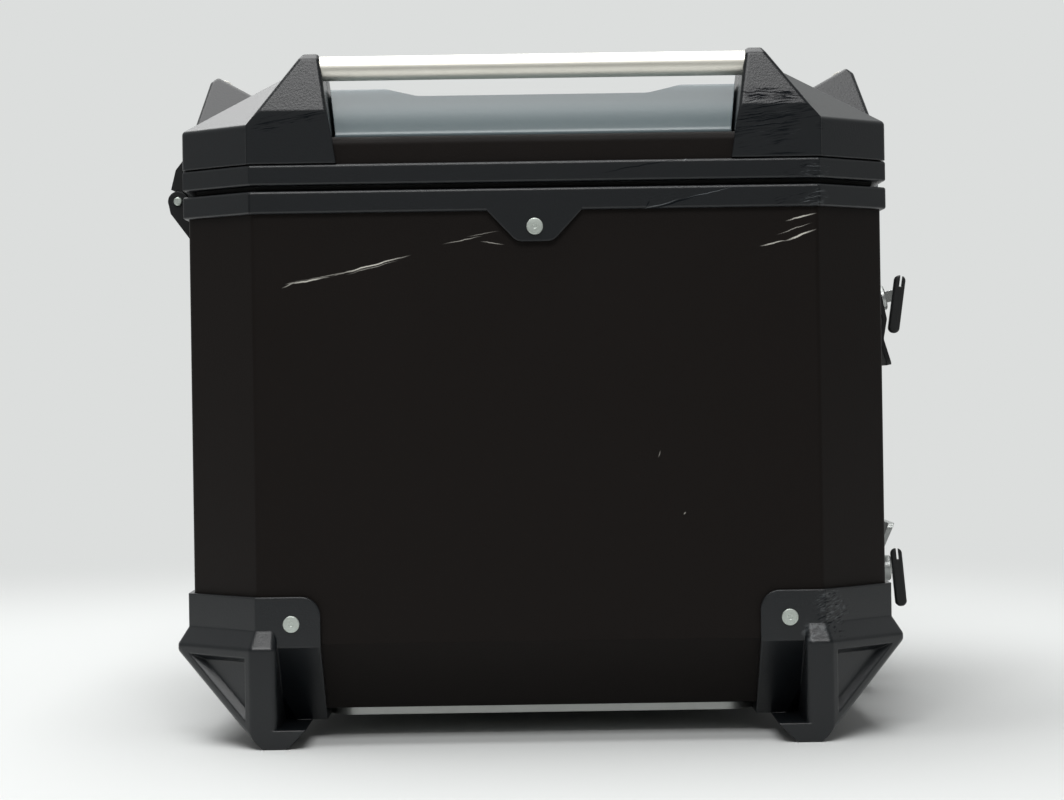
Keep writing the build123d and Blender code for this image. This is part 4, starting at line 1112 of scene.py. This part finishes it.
@dataclass(frozen=True)
class LidLatch(SubAssembly):
    """The keyed draw latch between body and lid, with its key."""

    nodes: tuple[str, ...] = (
        "latch_base",
        "latch_pivot_pin",
        "latch_lever",
        "latch_collar",
        "latch_claw",
        "latch_claw_pin",
        "latch_barrel",
        "latch_cam",
        "latch_key",
        "latch_key_bow",
        "latch_striker",
    )
    rivet: BlindRivet = BlindRivet()
    screw: SocketScrew = SocketScrew(
        head=2.3, height=2.0, shank=1.5, edge=0.8, socket=0.9, deep=0.8
    )

    def build(self) -> None:
        """Builds the base's rivets and the striker's screws."""
        self.fasten("latch_base_rivets", self.rivet, "case", Slot.RIVET)
        self.fasten("striker_screws", self.screw, "lid", Slot.ZINC)


@dataclass(frozen=True)
class RackLock(SubAssembly):
    """The keyed lever that lets the case off its rack, with its key."""

    nodes: tuple[str, ...] = (
        "release_housing",
        "release_pivot_pins",
        "release_lever",
        "release_collar",
        "release_barrel",
        "release_cam",
        "release_key",
        "release_key_bow",
        "release_bolt",
    )
    rivet: BlindRivet = BlindRivet()

    def build(self) -> None:
        """Builds the housing's rivets."""
        self.fasten("release_housing_rivets", self.rivet, "case", Slot.RIVET)


@dataclass(frozen=True)
class SoftBox:
    """A rectangular lamp.

    Attributes:
        name: Its name.
        place: Where it hangs, in metres.
        aim: The point that it faces, in metres.
        size: Width and height in metres.
        power: Power in watts.
    """

    name: str
    place: tuple[float, float, float]
    aim: tuple[float, float, float]
    size: tuple[float, float]
    power: float

    def hang(self) -> None:
        """Adds the lamp to the scene."""
        data = bpy.data.lights.new(self.name, "AREA")
        data.shape = "RECTANGLE"
        data.size, data.size_y = self.size
        data.energy = self.power
        lamp = bpy.data.objects.new(self.name, data)
        bpy.context.scene.collection.objects.link(lamp)
        lamp.location = self.place
        way = Vector(self.aim) - Vector(self.place)
        lamp.rotation_euler = way.to_track_quat("-Z", "Y").to_euler()
        LOG.info("hung %s at %s", self.name, self.place)


@dataclass(frozen=True)
class Studio:
    """Plain pale floor that runs into a pale backdrop, soft boxes and the camera.

    Attributes:
        pale: Colour of the floor and the backdrop.
        matt: Roughness of the floor.
        ambient: Strength of the surround's light.
        near: Distance from the case at which the lit floor starts to turn into the backdrop.
        far: Distance at which it has turned.
        room: Strength of what is mirrored from behind the camera, where the room is dimmer.
        room_from: Share of a direction along +Y up to which the room is that dim.
        room_to: Share from which the backdrop is at its full strength.
        floor_half: Half width of the floor, in metres as the distances are.
        eye: Place of the camera in metres.
        lens: Focal length in millimetres.
        sensor: Width of the camera's sensor in millimetres.
        roll: Turn of the picture in degrees.
        shift_y: Vertical shift of the picture.
        lamps: The soft boxes.
    """

    pale: str = "#dcdedd"
    matt: float = 0.9
    ambient: float = 0.28
    near: float = 0.5
    far: float = 1.3
    room: float = 0.3
    room_from: float = -0.1
    room_to: float = 0.9
    floor_half: float = 6.0
    eye: tuple[float, float, float] = (-0.0112, -1.517, 0.1672)
    lens: float = 96.1
    sensor: float = 36.0
    roll: float = 0.86
    shift_y: float = -0.018
    lamps: tuple[SoftBox, ...] = (
        SoftBox("overhead_box", (-0.375, 0.1, 2.1), (-0.375, 0.09, 0.0), (1.65, 1.8), 38.0),
        SoftBox("front_fill", (-0.15, -2.05, 2.1), (0.0, 0.0, 0.2), (1.4, 0.9), 34.0),
        SoftBox("rear_box", (-0.6, 2.05, 1.85), (0.0, 0.0, 0.25), (1.8, 1.0), 13.0),
    )

    def build(self) -> None:
        """Builds the floor, the lights, the world and the camera."""
        self.floor()
        self.world()
        for lamp in self.lamps:
            lamp.hang()
        self.camera()
        bpy.context.scene.view_settings.view_transform = "Standard"

    def seen(self, tree: bpy.types.NodeTree) -> bpy.types.NodeSocket:
        """Socket that is 1 for camera, glossy and transmission rays and 0 for the rest."""
        path = add_node(tree, "ShaderNodeLightPath")
        mirrored = add_node(
            tree,
            "ShaderNodeMath",
            {0: path.outputs["Is Camera Ray"], 1: path.outputs["Is Glossy Ray"]},
            operation="MAXIMUM",
        )
        through = add_node(
            tree,
            "ShaderNodeMath",
            {0: mirrored.outputs[0], 1: path.outputs["Is Transmission Ray"]},
            operation="MAXIMUM",
        )
        return through.outputs[0]

    def glow(
        self, tree: bpy.types.NodeTree, way: bpy.types.NodeSocket
    ) -> bpy.types.NodeSocket:
        """Strength of the backdrop: full to the camera, dimmer where the room's near side is mirrored.

        Args:
            tree: The node tree.
            way: Direction from the case.

        Returns:
            A socket with the strength, 1 or less.
        """
        unit = add_node(tree, "ShaderNodeVectorMath", {0: way}, operation="NORMALIZE")
        parts = add_node(tree, "ShaderNodeSeparateXYZ", {0: unit.outputs[0]})
        room = add_node(
            tree,
            "ShaderNodeMapRange",
            {
                "Value": parts.outputs["Y"],
                "From Min": self.room_from,
                "From Max": self.room_to,
                "To Min": self.room,
                "To Max": 1.0,
            },
            interpolation_type="SMOOTHSTEP",
        )
        path = add_node(tree, "ShaderNodeLightPath")
        both = add_node(
            tree,
            "ShaderNodeMath",
            {0: room.outputs[0], 1: path.outputs["Is Camera Ray"]},
            operation="MAXIMUM",
        )
        return both.outputs[0]

    def floor(self) -> None:
        """A wide floor: lit and shadowed near the case, the backdrop's plain colour far off."""
        shape = bmesh.new()
        bmesh.ops.create_grid(shape, x_segments=1, y_segments=1, size=self.floor_half)
        mesh = bpy.data.meshes.new("floor")
        shape.to_mesh(mesh)
        shape.free()
        floor = bpy.data.objects.new("floor", mesh)
        bpy.context.scene.collection.objects.link(floor)
        material = bpy.data.materials.new("Painted studio floor")
        material.use_nodes = True
        tree = material.node_tree
        tree.nodes.clear()
        lit = add_node(
            tree,
            "ShaderNodeBsdfPrincipled",
            {
                "Base Color": to_linear(self.pale),
                "Roughness": self.matt,
                "Specular IOR Level": 0.0,
            },
        )
        place = add_node(tree, "ShaderNodeTexCoord").outputs["Object"]
        plain = add_node(
            tree,
            "ShaderNodeEmission",
            {"Color": to_linear(self.pale), "Strength": self.glow(tree, place)},
        )
        away = add_node(tree, "ShaderNodeVectorMath", {0: place}, operation="LENGTH")
        fade = add_node(
            tree,
            "ShaderNodeMapRange",
            {"Value": away.outputs["Value"], "From Min": self.near, "From Max": self.far},
            interpolation_type="SMOOTHSTEP",
        )
        share = add_node(
            tree, "ShaderNodeMath", {0: fade.outputs[0], 1: self.seen(tree)}, operation="MULTIPLY"
        )
        both = add_node(
            tree,
            "ShaderNodeMixShader",
            {0: share.outputs[0], 1: lit.outputs[0], 2: plain.outputs[0]},
        )
        add_node(tree, "ShaderNodeOutputMaterial", {"Surface": both.outputs[0]})
        mesh.materials.append(material)

    def world(self) -> None:
        """A soft surround, seen by the camera and in reflections as the pale backdrop."""
        world = bpy.data.worlds.new("surround")
        world.use_nodes = True
        tree = world.node_tree
        tree.nodes.clear()
        light = add_node(
            tree, "ShaderNodeBackground", {"Color": to_linear("#ffffff"), "Strength": self.ambient}
        )
        way = add_node(tree, "ShaderNodeTexCoord").outputs["Generated"]
        seen = add_node(
            tree,
            "ShaderNodeBackground",
            {"Color": to_linear(self.pale), "Strength": self.glow(tree, way)},
        )
        both = add_node(
            tree,
            "ShaderNodeMixShader",
            {0: self.seen(tree), 1: light.outputs[0], 2: seen.outputs[0]},
        )
        add_node(tree, "ShaderNodeOutputWorld", {"Surface": both.outputs[0]})
        bpy.context.scene.world = world

    def camera(self) -> None:
        """Sets up the level camera that looks at the case's left side."""
        data = bpy.data.cameras.new("camera")
        data.lens = self.lens
        data.sensor_width = self.sensor
        data.shift_y = self.shift_y
        camera = bpy.data.objects.new("camera", data)
        bpy.context.scene.collection.objects.link(camera)
        camera.location = self.eye
        level = Matrix.Rotation(math.radians(90), 4, "X")
        tilt = Matrix.Rotation(math.radians(-self.roll), 4, "Z")
        camera.rotation_euler = (level @ tilt).to_euler()
        bpy.context.scene.camera = camera


def main() -> None:
    """Builds the scene in order."""
    logging.basicConfig(level=logging.INFO, format="%(name)s: %(message)s")
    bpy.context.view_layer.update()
    wardrobe = Wardrobe(FINISHES)
    for kind in (FoldedBody, CornerProtectors, RackMount, Hinge, Lid, LidLatch, RackLock):
        kind(wardrobe).make()
    Studio().build()


if __name__ == "__main__":
    main()
